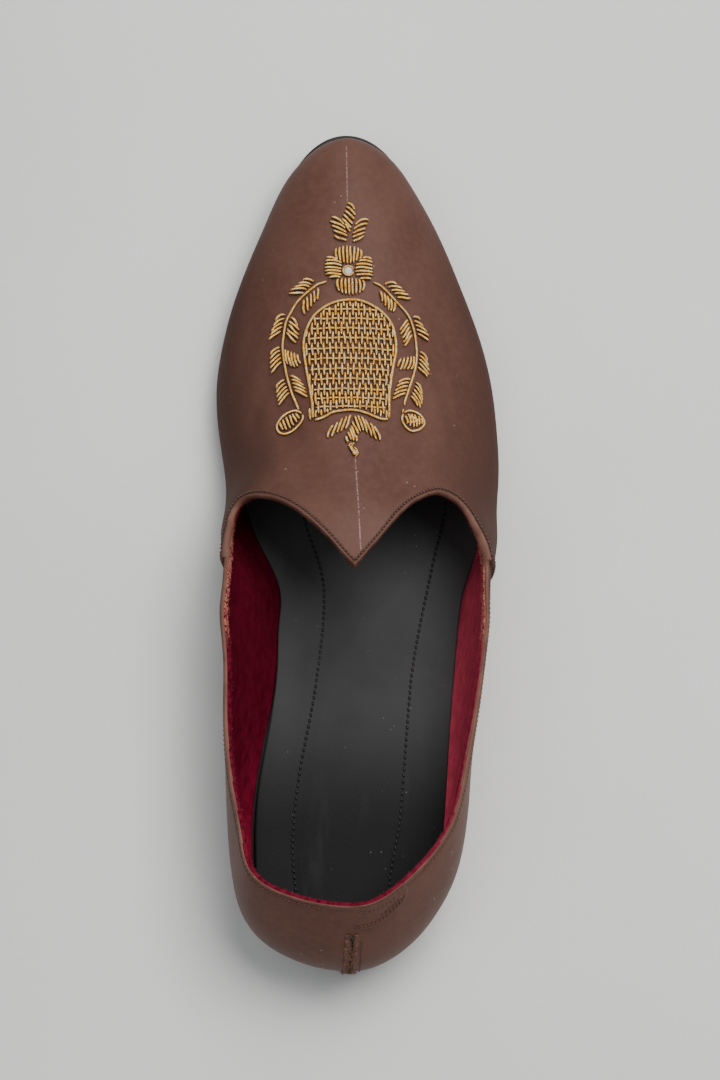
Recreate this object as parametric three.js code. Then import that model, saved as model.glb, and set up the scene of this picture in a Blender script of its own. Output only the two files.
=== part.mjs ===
// A mojari: a slip-on leather shoe for the right foot, with a heart-shaped throat and a low stacked heel.
// Millimetres. +Y points to the toe, +X to the outer side of the foot, +Z up, and the shoe stands on z = 0.
import * as THREE from 'three';

// Driving sizes of the last and the shoe
const SHOE_LENGTH = 292;
const BALL_WIDTH = 96;
const INSTEP_HEIGHT = 63;
const HEEL_HEIGHT = 12;
const TOE_SPRING = 10;
const OUTSOLE_THICKNESS = 4;
const INSOLE_THICKNESS = 3.6;
const UPPER_WALL = 2.2;

// The collar is highest at the back, and the counter leans over the heel of the foot
const COLLAR_BACK_HEIGHT = 58;
const COLLAR_DROP = 11.5;
const BACK_SWELL_HEIGHT = 28;
const BACK_LEAN = 18;
const BACK_TUCK = 4;

// Clearances, laps and edges
const JOIN_GAP = 0.3;
const INSOLE_GAP = 0.6;
const SOLE_EDGE = 0.8;
const TOE_EDGE = 2.5;
const SOLE_BEVEL = 0.7;
const HEEL_TAPER = 1.5;
const HEEL_LENGTH = 68.5;
const HEEL_BREAST_SLOPE = 3;
const VAMP_LAP = 1;
const TAB_THICKNESS = 1;
const TAB_REACH = 17.5;
const SEAM_STRIP_WIDTH = 3.4;
const SEAM_STRIP_THICKNESS = 0.8;
const CENTRE_LINE_OFFSET = -3.4;

// The embroidery on the vamp: its length seen from above, and the height of its padded thread
const MOTIF_LENGTH = 94.5;
const MOTIF_TOE_GAP = 27.8;
const THREAD_HEIGHT = 1.3;
const STEM_WIDTH = 1.1;
const PANEL_HALF_WIDTH = 15;
const FLOWER_RADIUS = 9;
const CRYSTAL_DIAMETER = 2.9;
const CRYSTAL_HEIGHT = 1.3;
const BUD_LENGTH = 9.5;
const BUD_WIDTH = 7.4;
const LEAF_REACH = 10;
const SPRIG_REACH = 10;
const SPRIG_BASE_RADIUS = 1.6;

// Shares of the shoe's length where its underside and its panels change
const WAIST_START = 0.24;
const TREAD_START = 0.55;
const TREAD_END = 0.68;
const SIDE_SEAM = 0.45;
const TOE_FULLNESS = 0.6;

const UPPER_LENGTH = SHOE_LENGTH - TOE_EDGE;
const EDGE_RISE = OUTSOLE_THICKNESS + JOIN_GAP;
const MOTIF_START = UPPER_LENGTH - MOTIF_TOE_GAP - MOTIF_LENGTH;

// Sections of the last from heel to toe. along is a share of the length. Edge, swell, shoulder and flare
// are shares of BALL_WIDTH out from the centre line, and rise and crown shares of INSTEP_HEIGHT above the edge.
const SECTIONS = [
  { along: 0.02, innerEdge: 0.219, innerSwell: 0.249, innerShoulder: 0.310, outerEdge: 0.172, outerSwell: 0.190,
    outerShoulder: 0.100, innerFlare: 0, outerFlare: 0, rise: 0.27, crown: 1.25 },
  { along: 0.10, innerEdge: 0.344, innerSwell: 0.500, innerShoulder: 0.320, outerEdge: 0.312, outerSwell: 0.466,
    outerShoulder: 0.205, innerFlare: 0, outerFlare: 0, rise: 0.27, crown: 1.25 },
  { along: 0.19, innerEdge: 0.341, innerSwell: 0.537, innerShoulder: 0.395, outerEdge: 0.346, outerSwell: 0.538,
    outerShoulder: 0.275, innerFlare: 0, outerFlare: 0, rise: 0.27, crown: 1.25 },
  { along: 0.27, innerEdge: 0.301, innerSwell: 0.482, innerShoulder: 0.545, outerEdge: 0.369, outerSwell: 0.490,
    outerShoulder: 0.470, innerFlare: 0.03, outerFlare: 0.02, rise: 0.26, crown: 1.18 },
  { along: 0.35, innerEdge: 0.263, innerSwell: 0.373, innerShoulder: 0.626, outerEdge: 0.396, outerSwell: 0.470,
    outerShoulder: 0.538, innerFlare: 0.073, outerFlare: 0.052, rise: 0.24, crown: 1.04 },
  { along: 0.40, innerEdge: 0.254, innerSwell: 0.350, innerShoulder: 0.538, outerEdge: 0.416, outerSwell: 0.451,
    outerShoulder: 0.550, innerFlare: 0.104, outerFlare: 0.073, rise: 0.21, crown: 0.855 },
  { along: 0.44, innerEdge: 0.249, innerSwell: 0.328, innerShoulder: 0.485, outerEdge: 0.444, outerSwell: 0.418,
    outerShoulder: 0.590, innerFlare: 0.125, outerFlare: 0.073, rise: 0.19, crown: 0.84 },
  { along: 0.50, innerEdge: 0.307, innerSwell: 0.535, innerShoulder: 0.345, outerEdge: 0.474, outerSwell: 0.632,
    outerShoulder: 0.350, innerFlare: 0.105, outerFlare: 0.09, rise: 0.19, crown: 0.835 },
  { along: 0.54, innerEdge: 0.359, innerSwell: 0.540, innerShoulder: 0.296, outerEdge: 0.503, outerSwell: 0.634,
    outerShoulder: 0.316, innerFlare: 0.08, outerFlare: 0.06, rise: 0.19, crown: 0.79 },
  { along: 0.59, innerEdge: 0.408, innerSwell: 0.519, innerShoulder: 0.268, outerEdge: 0.520, outerSwell: 0.643,
    outerShoulder: 0.303, innerFlare: 0.03, outerFlare: 0.02, rise: 0.18, crown: 0.73 },
  { along: 0.64, innerEdge: 0.435, innerSwell: 0.536, innerShoulder: 0.274, outerEdge: 0.518, outerSwell: 0.635,
    outerShoulder: 0.304, innerFlare: 0, outerFlare: 0, rise: 0.17, crown: 0.68 },
  { along: 0.70, innerEdge: 0.442, innerSwell: 0.542, innerShoulder: 0.278, outerEdge: 0.500, outerSwell: 0.610,
    outerShoulder: 0.302, innerFlare: 0, outerFlare: 0, rise: 0.17, crown: 0.625 },
  { along: 0.76, innerEdge: 0.413, innerSwell: 0.509, innerShoulder: 0.269, outerEdge: 0.456, outerSwell: 0.562,
    outerShoulder: 0.286, innerFlare: 0, outerFlare: 0, rise: 0.16, crown: 0.575 },
  { along: 0.82, innerEdge: 0.362, innerSwell: 0.451, innerShoulder: 0.245, outerEdge: 0.391, outerSwell: 0.485,
    outerShoulder: 0.258, innerFlare: 0, outerFlare: 0, rise: 0.16, crown: 0.545 },
  { along: 0.88, innerEdge: 0.294, innerSwell: 0.369, innerShoulder: 0.206, outerEdge: 0.317, outerSwell: 0.398,
    outerShoulder: 0.221, innerFlare: 0, outerFlare: 0, rise: 0.15, crown: 0.515 },
  { along: 0.94, innerEdge: 0.218, innerSwell: 0.275, innerShoulder: 0.158, outerEdge: 0.222, outerSwell: 0.282,
    outerShoulder: 0.162, innerFlare: 0, outerFlare: 0, rise: 0.15, crown: 0.475 },
  { along: 0.98, innerEdge: 0.128, innerSwell: 0.166, innerShoulder: 0.097, outerEdge: 0.133, outerSwell: 0.172,
    outerShoulder: 0.100, innerFlare: 0, outerFlare: 0, rise: 0.15, crown: 0.45 },
];

// The collar's height on each side: at 1 it is COLLAR_BACK_HEIGHT, and at 0 lower by COLLAR_DROP
const COLLAR = [
  { along: 0, inner: 1, outer: 1 },
  { along: 0.03, inner: 0.81, outer: 0.95 },
  { along: 0.07, inner: 0.60, outer: 0.80 },
  { along: 0.11, inner: 0.46, outer: 0.60 },
  { along: 0.16, inner: 0.28, outer: 0.36 },
  { along: 0.23, inner: 0.12, outer: 0.15 },
  { along: 0.31, inner: 0.03, outer: 0.04 },
  { along: 0.40, inner: 0, outer: 0 },
  { along: 0.48, inner: -0.12, outer: -0.12 },
];

// The throat's two arches, from each side seam to the point that lies over the instep. up is a share of
// the way from the section's edge to its crown.
const INNER_ARCH = [
  { along: 0.490, up: 0.610 },
  { along: 0.506, up: 0.600 },
  { along: 0.519, up: 0.615 },
  { along: 0.523, up: 0.655 },
  { along: 0.518, up: 0.718 },
  { along: 0.503, up: 0.793 },
  { along: 0.477, up: 0.869 },
  { along: 0.440, up: 0.943 },
  { along: 0.399, up: 1 },
];
const OUTER_ARCH = [
  { along: 0.488, up: 0.648 },
  { along: 0.505, up: 0.655 },
  { along: 0.518, up: 0.675 },
  { along: 0.5235, up: 0.717 },
  { along: 0.519, up: 0.768 },
  { along: 0.497, up: 0.840 },
  { along: 0.466, up: 0.910 },
  { along: 0.433, up: 0.961 },
  { along: 0.399, up: 1 },
];

// Facets: lines from the edge to the topline, and rings between them
const QUARTER_LINES = 17;
const ARCH_LINES = 30;
const OUTER_RINGS = 10;
const INNER_RINGS = 8;
const SOLE_STATIONS = 44;
const HEEL_STATIONS = 18;

const clamp = THREE.MathUtils.clamp;
const lerp = THREE.MathUtils.lerp;
const smoothBetween = THREE.MathUtils.smoothstep;

// A place along the last as an angle, 0 at the back of the heel and half a turn at the toe
const angleAt = (along) => Math.acos(1 - 2 * along);
const alongAt = (angle) => (1 - Math.cos(angle)) / 2;

// A cubic spline through the knots that leaves both ends level
function levelSpline(knots, values) {
  const last = knots.length - 1;
  const step = knots.slice(1).map((knot, i) => knot - knots[i]);
  const slope = values.slice(1).map((value, i) => (value - values[i]) / step[i]);
  const diagonal = [2 * step[0]];
  const bend = [6 * slope[0]];
  for (let i = 1; i <= last; i += 1) {
    const factor = step[i - 1] / diagonal[i - 1];
    const next = i < last ? step[i] : 0;
    diagonal.push(2 * (step[i - 1] + next) - factor * step[i - 1]);
    bend.push(6 * ((i < last ? slope[i] : 0) - slope[i - 1]) - factor * bend[i - 1]);
  }
  const curvature = new Array(last + 1).fill(0);
  for (let i = last; i >= 0; i -= 1) {
    const following = i < last ? step[i] * curvature[i + 1] : 0;
    curvature[i] = (bend[i] - following) / diagonal[i];
  }
  return (place) => {
    const at = clamp(place, knots[0], knots[last]);
    const i = clamp(knots.findIndex((knot) => knot > at) - 1, 0, last - 1);
    const cell = at >= knots[last] ? last - 1 : i;
    const a = (knots[cell + 1] - at) / step[cell];
    const b = 1 - a;
    const bow = ((a ** 3 - a) * curvature[cell] + (b ** 3 - b) * curvature[cell + 1]) * step[cell] ** 2 / 6;
    return a * values[cell] + b * values[cell + 1] + bow;
  };
}

const columnSpline = (rows, column, scale) =>
  levelSpline(rows.map((row) => angleAt(row.along)), rows.map((row) => scale(row[column], angleAt(row.along))));

// Widths are splined as a roundness, the width over the sine of the angle, so that both ends are round
const width = (column) => columnSpline(SECTIONS, column, (share, angle) => share * BALL_WIDTH / Math.sin(angle));
const plain = (column, size) => columnSpline(SECTIONS, column, (share) => share * size);
const LAST = {
  inner: { edge: width('innerEdge'), swell: width('innerSwell'), shoulder: width('innerShoulder'),
    flare: plain('innerFlare', BALL_WIDTH) },
  outer: { edge: width('outerEdge'), swell: width('outerSwell'), shoulder: width('outerShoulder'),
    flare: plain('outerFlare', BALL_WIDTH) },
  rise: plain('rise', INSTEP_HEIGHT),
  crown: plain('crown', INSTEP_HEIGHT),
};
const collarShare = {
  inner: columnSpline(COLLAR, 'inner', (share) => share),
  outer: columnSpline(COLLAR, 'outer', (share) => share),
};

// Height of the outsole's underside above the floor, from the distance in front of the heel's back
function undersideHeight(forward) {
  const share = forward / SHOE_LENGTH;
  const heel = HEEL_HEIGHT * (1 - smoothBetween(share, WAIST_START, TREAD_START));
  const toe = TOE_SPRING * Math.max(0, (share - TREAD_END) / (1 - TREAD_END)) ** 2;
  return heel + toe;
}

const bezier = (a, b, c, d, f) =>
  a * (1 - f) ** 3 + 3 * b * (1 - f) ** 2 * f + 3 * c * (1 - f) * f ** 2 + d * f ** 3;

const edgeForward = (angle) => BACK_TUCK + (UPPER_LENGTH - BACK_TUCK) * alongAt(angle);
const edgeHeight = (angle) => undersideHeight(edgeForward(angle)) + EDGE_RISE;

// How far the back of the last stands in from its rearmost point, at a height
function backSetback(height) {
  const low = clamp((BACK_SWELL_HEIGHT - height) / (BACK_SWELL_HEIGHT - HEEL_HEIGHT - EDGE_RISE), 0, 1);
  const high = (height - BACK_SWELL_HEIGHT) / (COLLAR_BACK_HEIGHT - BACK_SWELL_HEIGHT);
  const reach = 1.4;
  return BACK_TUCK * low ** 2 + BACK_LEAN * smoothBetween(high, 0, reach) / smoothBetween(1, 0, reach);
}

// The last's skin: side is inner or outer, and up runs from 0 at the edge to 1 at the crown
function lastPoint(angle, side, up) {
  const half = LAST[side];
  const roundness = Math.sin(angle);
  const flareShape = Math.sin(Math.PI * up ** 1.61) ** 2;
  const across = roundness * bezier(half.edge(angle), half.swell(angle), half.shoulder(angle), 0, up)
    + half.flare(angle) * flareShape;
  const dome = angle > Math.PI / 2 ? roundness ** TOE_FULLNESS : 1;
  const crown = LAST.crown(angle);
  const height = edgeHeight(angle) + dome * bezier(0, LAST.rise(angle), crown, crown, up);
  const start = backSetback(height);
  const forward = start + (UPPER_LENGTH - start) * alongAt(angle);
  const x = (side === 'inner' ? -across : across) + CENTRE_LINE_OFFSET;
  return new THREE.Vector3(x, forward - SHOE_LENGTH / 2, height);
}

// The skin laid out flat: a rectangle from the back of the heel to the middle of the last, then a half disc
// whose rim is the edge round the toe. flat.x runs from -1 at the inner edge to 1 at the outer edge.
const flatPoint = (angle, side, up) => {
  const across = (side === 'inner' ? -1 : 1) * Math.cos(Math.PI * up / 2);
  if (angle <= Math.PI / 2) return new THREE.Vector2(across, angle - Math.PI / 2);
  return new THREE.Vector2(across * Math.sin(angle), -Math.cos(angle));
};

function skinPoint(flat) {
  const angle = flat.y <= 0 ? flat.y + Math.PI / 2 : Math.acos(-Math.min(flat.y, 1));
  const reach = flat.y <= 0 ? 1 : Math.sqrt(Math.max(1 - flat.y ** 2, 0));
  const across = reach > 0 ? clamp(flat.x / reach, -1, 1) : 0;
  const up = 2 * Math.acos(Math.abs(across)) / Math.PI;
  return lastPoint(angle, across < 0 ? 'inner' : 'outer', up);
}

// How far up its section the collar lies, found by halving
function collarUp(angle, side) {
  const target = COLLAR_BACK_HEIGHT - COLLAR_DROP * (1 - collarShare[side](angle));
  let low = 0;
  let high = 1;
  for (let i = 0; i < 40; i += 1) {
    const middle = (low + high) / 2;
    if (lastPoint(angle, side, middle).z < target) low = middle;
    else high = middle;
  }
  return low;
}

const seamAngle = angleAt(SIDE_SEAM);
const seamY = seamAngle - Math.PI / 2;

// Each line runs straight over the flat layout, from the edge to the topline. turn sets how its rings spread.
function quarterLine(share, side) {
  const angle = seamAngle * share;
  const up = collarUp(angle, side);
  return { from: flatPoint(angle, side, 0), to: flatPoint(angle, side, up), turn: Math.PI * up / 2, lapped: false };
}

function archLines(side, rows) {
  const top = { angle: seamAngle, up: collarUp(seamAngle, side) };
  const corners = [flatPoint(top.angle, side, top.up)];
  rows.forEach((row) => corners.push(flatPoint(angleAt(row.along), side, row.up)));
  const topline = new THREE.SplineCurve(corners);
  const edge = new THREE.CurvePath();
  const start = flatPoint(seamAngle, side, 0);
  const sign = Math.sign(start.x);
  edge.add(new THREE.LineCurve(start, new THREE.Vector2(sign, 0)));
  edge.add(new THREE.EllipseCurve(0, 0, 1, 1, sign < 0 ? Math.PI : 0, Math.PI / 2, sign < 0));
  const lines = [];
  for (let i = 0; i <= ARCH_LINES; i += 1) {
    const share = i / ARCH_LINES;
    const turn = lerp(Math.PI * top.up / 2, Math.PI * 0.55, share);
    lines.push({ from: edge.getPointAt(share), to: topline.getPointAt(share), turn, lapped: true });
  }
  return lines;
}

// All lines in one loop: back seam, inner quarter, inner half of the vamp, toe, outer half, outer quarter
function upperLines() {
  const shares = Array.from({ length: QUARTER_LINES + 1 }, (unused, i) => i / QUARTER_LINES);
  const innerQuarter = shares.map((share) => quarterLine(share, 'inner'));
  const outerQuarter = shares.slice(1).reverse().map((share) => quarterLine(share, 'outer'));
  const innerVamp = archLines('inner', INNER_ARCH);
  const outerVamp = archLines('outer', OUTER_ARCH).reverse().slice(1);
  return [...innerQuarter, ...innerVamp, ...outerVamp, ...outerQuarter];
}

// The vamp lies over the quarters at the side seams and is level with the last again a short way forward
const LAP_FADE = 0.16;
const lapHeight = (flat) => VAMP_LAP * (1 - smoothBetween(flat.y, seamY, seamY + LAP_FADE));

function flatOnLine(line, share) {
  const spread = (1 - Math.cos(line.turn * share)) / (1 - Math.cos(line.turn));
  return line.from.clone().lerp(line.to, spread);
}

// The skin's outward direction, from short steps to both sides over the flat layout
function skinNormal(flat) {
  const step = 0.004;
  const move = (x, y) => skinPoint(new THREE.Vector2(flat.x + x, Math.max(flat.y + y, -Math.PI / 2)));
  return move(step, 0).sub(move(-step, 0)).cross(move(0, step).sub(move(0, -step))).normalize();
}

// Triangles are gathered as corner triples; corners at one place become one vertex, and slivers go
class Shell {
  constructor() {
    this.places = new Map();
    this.positions = [];
    this.indices = [];
  }

  corner(point) {
    const key = [point.x, point.y, point.z].map((value) => Math.round(value * 1e4)).join(' ');
    if (!this.places.has(key)) {
      this.places.set(key, this.places.size);
      this.positions.push(point.x, point.y, point.z);
    }
    return this.places.get(key);
  }

  triangle(a, b, c) {
    const corners = [a, b, c].map((point) => this.corner(point));
    if (new Set(corners).size === 3) this.indices.push(...corners);
  }

  quad(a, b, c, d) {
    this.triangle(a, b, c);
    this.triangle(a, c, d);
  }

  // Rows of points in order, each row joined to the next; round closes every row on itself
  rows(grid, round) {
    for (let i = 0; i + 1 < grid.length; i += 1) {
      const count = grid[i].length;
      for (let j = 0; j < (round ? count : count - 1); j += 1) {
        const next = (j + 1) % count;
        this.quad(grid[i][j], grid[i][next], grid[i + 1][next], grid[i + 1][j]);
      }
    }
  }

  geometry() {
    const geometry = new THREE.BufferGeometry();
    geometry.setAttribute('position', new THREE.Float32BufferAttribute(this.positions, 3));
    geometry.setIndex(this.indices);
    geometry.computeVertexNormals();
    return geometry;
  }
}

// The upper: an outer skin from edge to topline, and an inner skin one wall inside it
function upperGeometry() {
  const lines = upperLines();
  const outer = [];
  const inner = [];
  const skin = (line, share) => {
    const flat = flatOnLine(line, share);
    const point = skinPoint(flat);
    const lap = line.lapped ? lapHeight(flat) : 0;
    return { point, lap };
  };
  // Directions come from the neighbouring lines and rings, which also holds at the back seam and toe tip.
  // At the edge they are level, so that both skins end flat on the sole.
  const direction = (index, share) => {
    const step = 0.02;
    const count = lines.length;
    const previous = skin(lines[(index + count - 1) % count], share).point;
    const next = skin(lines[(index + 1) % count], share).point;
    const here = lines[index];
    const below = skin(here, Math.max(share - step, 0)).point;
    const above = skin(here, Math.min(share + step, 1)).point;
    const out = above.sub(below).cross(next.sub(previous));
    if (share === 0) out.z = 0;
    return out.normalize();
  };
  for (let ring = 0; ring <= OUTER_RINGS; ring += 1) {
    const share = ring / OUTER_RINGS;
    outer.push(lines.map((line, index) => {
      const { point, lap } = skin(line, share);
      return point.addScaledVector(direction(index, share), lap);
    }));
  }
  for (let ring = 0; ring <= INNER_RINGS; ring += 1) {
    const share = ring / INNER_RINGS;
    inner.push(lines.map((line, index) => {
      const { point } = skin(line, share);
      return point.addScaledVector(direction(index, share), -UPPER_WALL);
    }));
  }
  const shell = new Shell();
  shell.rows([...inner, ...outer.reverse(), inner[0]], true);
  return shell.geometry();
}

// Plan outlines follow the upper's edge, moved outwards in plan by a margin that may change with the angle
function planPoint(angle, side, margin) {
  const at = (place) => {
    const whole = place < 0 || place > Math.PI;
    const mirrored = place < 0 ? -place : 2 * Math.PI - place;
    const half = whole ? mirrored : place;
    const other = side === 'inner' ? 'outer' : 'inner';
    const point = lastPoint(half, whole ? other : side, 0);
    return new THREE.Vector2(point.x, point.y);
  };
  const step = 0.01;
  const tangent = at(angle + step).sub(at(angle - step)).normalize();
  const out = side === 'inner' ? new THREE.Vector2(-tangent.y, tangent.x) : new THREE.Vector2(tangent.y, -tangent.x);
  return at(angle).addScaledVector(out, margin(angle));
}

// A plate's levels are pairs of rows, one down each side from the back to the front
function levelRows(stations, margin, heightAt) {
  const place = (angle, side) => {
    const plan = planPoint(angle, side, margin);
    return new THREE.Vector3(plan.x, plan.y, heightAt(plan.y + SHOE_LENGTH / 2));
  };
  return stations.map((angle) => {
    const closed = angle === 0 || angle === Math.PI;
    return { inner: place(angle, 'inner'), outer: place(angle, closed ? 'inner' : 'outer') };
  });
}

function plateGeometry(levels) {
  const shell = new Shell();
  const loops = levels.map((level) => [
    ...level.map((row) => row.inner),
    ...level.map((row) => row.outer).reverse(),
  ]);
  shell.rows(loops.map((loop) => [...loop].reverse()), true);
  const cap = (level, up) => {
    for (let i = 0; i + 1 < level.length; i += 1) {
      const [near, far] = [level[i], level[i + 1]];
      if (up) shell.quad(near.inner, near.outer, far.outer, far.inner);
      else shell.quad(near.inner, far.inner, far.outer, near.outer);
    }
  };
  cap(levels[0], false);
  cap(levels[levels.length - 1], true);
  return shell.geometry();
}

const stationsTo = (angle, count) => Array.from({ length: count + 1 }, (unused, i) => angle * i / count);

// The outsole's edge stands a little proud of the upper, and more at the toe tip
const soleMargin = (angle) => lerp(SOLE_EDGE, TOE_EDGE, smoothBetween(alongAt(angle), 0.93, 1));

function outsoleGeometry() {
  const stations = stationsTo(Math.PI, SOLE_STATIONS);
  const bevelled = (angle) => soleMargin(angle) - SOLE_BEVEL;
  return plateGeometry([
    levelRows(stations, bevelled, undersideHeight),
    levelRows(stations, soleMargin, (forward) => undersideHeight(forward) + SOLE_BEVEL),
    levelRows(stations, soleMargin, (forward) => undersideHeight(forward) + OUTSOLE_THICKNESS),
  ]);
}

// The heel: lifts of leather from the floor up to the outsole, tapering down, with a breast that slopes back
function heelGeometry() {
  const front = angleAt(HEEL_LENGTH / SHOE_LENGTH);
  const frontLow = angleAt((HEEL_LENGTH - HEEL_BREAST_SLOPE) / SHOE_LENGTH);
  const tapered = (angle) => soleMargin(angle) - HEEL_TAPER;
  const seated = (forward) => undersideHeight(forward) - JOIN_GAP;
  return plateGeometry([
    levelRows(stationsTo(frontLow, HEEL_STATIONS), tapered, () => 0),
    levelRows(stationsTo(front, HEEL_STATIONS), (angle) => soleMargin(angle) - SOLE_BEVEL, seated),
  ]);
}

// The insole: a padded sheet that fills the floor of the shoe, with a rounded rim and a shallow dish
const INSOLE_RIM = 1.2;
const INSOLE_DISH = 0.5;
const INSOLE_DISH_INSET = 7;

function insoleGeometry() {
  const stations = stationsTo(Math.PI, SOLE_STATIONS);
  const inset = (distance) => () => -UPPER_WALL - INSOLE_GAP - distance;
  const height = (above) => (forward) => undersideHeight(forward) + EDGE_RISE + above;
  return plateGeometry([
    levelRows(stations, inset(0), height(0)),
    levelRows(stations, inset(0), height(INSOLE_THICKNESS - INSOLE_RIM)),
    levelRows(stations, inset(INSOLE_RIM), height(INSOLE_THICKNESS)),
    levelRows(stations, inset(INSOLE_DISH_INSET), height(INSOLE_THICKNESS - INSOLE_DISH)),
  ]);
}

// An overlay lies on the upper, a small gap clear of it: a grid of places on the flat layout gets an under
// and an upper face, and a wall round its rim. A round grid has rings that close on themselves.
function overlayGeometry(grid, thickness, round = false, base = JOIN_GAP) {
  const raised = (height) => grid.map((row) => row.map((flat) =>
    skinPoint(flat).addScaledVector(skinNormal(flat), height)));
  const under = raised(base);
  const top = raised(base + thickness);
  const shell = new Shell();
  const flip = (rows) => rows.map((row) => [...row].reverse());
  shell.rows(top, round);
  shell.rows(flip(under), round);
  const last = grid.length - 1;
  if (round) {
    shell.rows([top[last], under[last]], true);
  } else {
    const rim = (rows) => [
      ...rows[0].slice(0, -1),
      ...rows.slice(0, -1).map((row) => row[row.length - 1]),
      ...[...rows[last]].reverse().slice(0, -1),
      ...rows.slice(1).reverse().map((row) => row[0]),
    ];
    shell.rows([rim(under), rim(top)], true);
  }
  return shell.geometry();
}

// A place on the flat layout from a place seen from above: across from the centre line, and forward
function placeFromAbove(across, forward) {
  const side = across < 0 ? 'inner' : 'outer';
  let angle = angleAt(clamp(forward / UPPER_LENGTH, 0, 1));
  let up = 1;
  for (let i = 0; i < 8; i += 1) {
    let [low, high] = [0.35, 1];
    for (let j = 0; j < 30; j += 1) {
      const middle = (low + high) / 2;
      if (Math.abs(lastPoint(angle, side, middle).x - CENTRE_LINE_OFFSET) > Math.abs(across)) low = middle;
      else high = middle;
    }
    up = high;
    const start = backSetback(lastPoint(angle, side, up).z);
    angle = angleAt(clamp((forward - start) / (UPPER_LENGTH - start), 0, 1));
  }
  return flatPoint(angle, side, up);
}

// Places in the motif: across and ahead are shares of its length, from the throat end on its centre line
const motifPlace = (across, ahead) =>
  placeFromAbove(across * MOTIF_LENGTH, MOTIF_START + ahead * MOTIF_LENGTH);

// The arch-shaped panel, from its hollowed foot to its round head. half is a share of PANEL_HALF_WIDTH.
const PANEL = [
  { ahead: 0.155, half: 0.84 },
  { ahead: 0.20, half: 0.86 },
  { ahead: 0.27, half: 0.90 },
  { ahead: 0.36, half: 0.96 },
  { ahead: 0.45, half: 1 },
  { ahead: 0.52, half: 0.93 },
  { ahead: 0.57, half: 0.76 },
  { ahead: 0.60, half: 0.52 },
  { ahead: 0.615, half: 0.24 },
];
const PANEL_FOOT_RISE = 0.032;
const PANEL_ROWS = 16;
const PANEL_COLUMNS = 14;

function curveThrough(rows, columns) {
  const points = rows.map((row) => new THREE.Vector3(row[columns[0]], row[columns[1]], 0));
  return new THREE.CatmullRomCurve3(points, false, 'centripetal');
}

function panelGeometry() {
  const side = curveThrough(PANEL, ['half', 'ahead']);
  const grid = [];
  for (let i = 0; i <= PANEL_ROWS; i += 1) {
    const { x: half, y: ahead } = side.getPoint(i / PANEL_ROWS);
    const row = [];
    for (let j = 0; j <= PANEL_COLUMNS; j += 1) {
      const across = 2 * j / PANEL_COLUMNS - 1;
      const foot = PANEL_FOOT_RISE * (1 - across ** 2) * (1 - i / PANEL_ROWS);
      row.push(motifPlace(across * half * PANEL_HALF_WIDTH / MOTIF_LENGTH, ahead + foot));
    }
    grid.push(row);
  }
  return overlayGeometry(grid, THREAD_HEIGHT);
}

// Round motifs: rings about a middle, whose reach changes with the bearing, 0 towards the toe
function roundMotifGeometry(middle, reachAt, rings, spokes, thickness, base) {
  const grid = [];
  for (let ring = 0; ring <= rings; ring += 1) {
    grid.push(Array.from({ length: spokes }, (unused, spoke) => {
      const bearing = 2 * Math.PI * spoke / spokes;
      const reach = reachAt(bearing) * ring / rings;
      return placeFromAbove(
        middle.across * MOTIF_LENGTH - reach * Math.sin(bearing),
        MOTIF_START + middle.ahead * MOTIF_LENGTH + reach * Math.cos(bearing),
      );
    }));
  }
  return overlayGeometry(grid.map((row) => [...row].reverse()), thickness, true, base);
}

const FLOWER = { across: -0.001, ahead: 0.732 };
const petals = (bearing) => FLOWER_RADIUS * (0.66 + 0.34 * Math.abs(Math.cos(2 * bearing)) ** 0.6);

// A sprig fans out from its base: each leaf has a bearing, a length that is a share of SPRIG_REACH, and a
// half-width in radians
const TOE_SPRIG = { across: -0.003, ahead: 0.853, leaves: [
  { bearing: 0, length: 1.4, spread: 0.5 },
  { bearing: 0.8, length: 1.05, spread: 0.5 },
  { bearing: -0.76, length: 1.05, spread: 0.5 },
] };
const THROAT_SPRIG = { across: 0.005, ahead: 0.152, leaves: [
  { bearing: Math.PI, length: 1.45, spread: 0.36 },
  { bearing: Math.PI - 0.66, length: 1.18, spread: 0.4 },
  { bearing: Math.PI + 0.70, length: 1.22, spread: 0.4 },
] };

const sprigReach = (sprig) => (bearing) => sprig.leaves.reduce((reach, leaf) => {
  const turn = Math.abs(Math.atan2(Math.sin(bearing - leaf.bearing), Math.cos(bearing - leaf.bearing)));
  const leafShare = Math.max(0, Math.cos(Math.min(turn / leaf.spread, 1) * Math.PI / 2)) ** 0.8;
  const length = leaf.length * SPRIG_REACH;
  return Math.max(reach, SPRIG_BASE_RADIUS + (length - SPRIG_BASE_RADIUS) * leafShare);
}, SPRIG_BASE_RADIUS);

// A vine runs down beside the panel: its stem, four pairs of leaves that point back to the throat, and a bud.
// The leaves' widths, near the panel and far from it, are shares of LEAF_REACH.
const STEM = [
  { across: 0.077, ahead: 0.682 },
  { across: 0.155, ahead: 0.643 },
  { across: 0.215, ahead: 0.552 },
  { across: 0.238, ahead: 0.455 },
  { across: 0.225, ahead: 0.345 },
  { across: 0.187, ahead: 0.240 },
  { across: 0.182, ahead: 0.190 },
  { across: 0.217, ahead: 0.155 },
  { across: 0.252, ahead: 0.120 },
];
const VINE_LEAVES = [
  { at: 0.05, span: 0.13, near: 0.7, far: 0.75 },
  { at: 0.28, span: 0.13, near: 0.56, far: 0.72 },
  { at: 0.45, span: 0.12, near: 0.54, far: 0.7 },
  { at: 0.63, span: 0.12, near: 0.62, far: 0.72 },
];
const LEAF_SLANT = 0.75;
const BUD_AT = 0.925;
const VINE_STEPS = 52;

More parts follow.
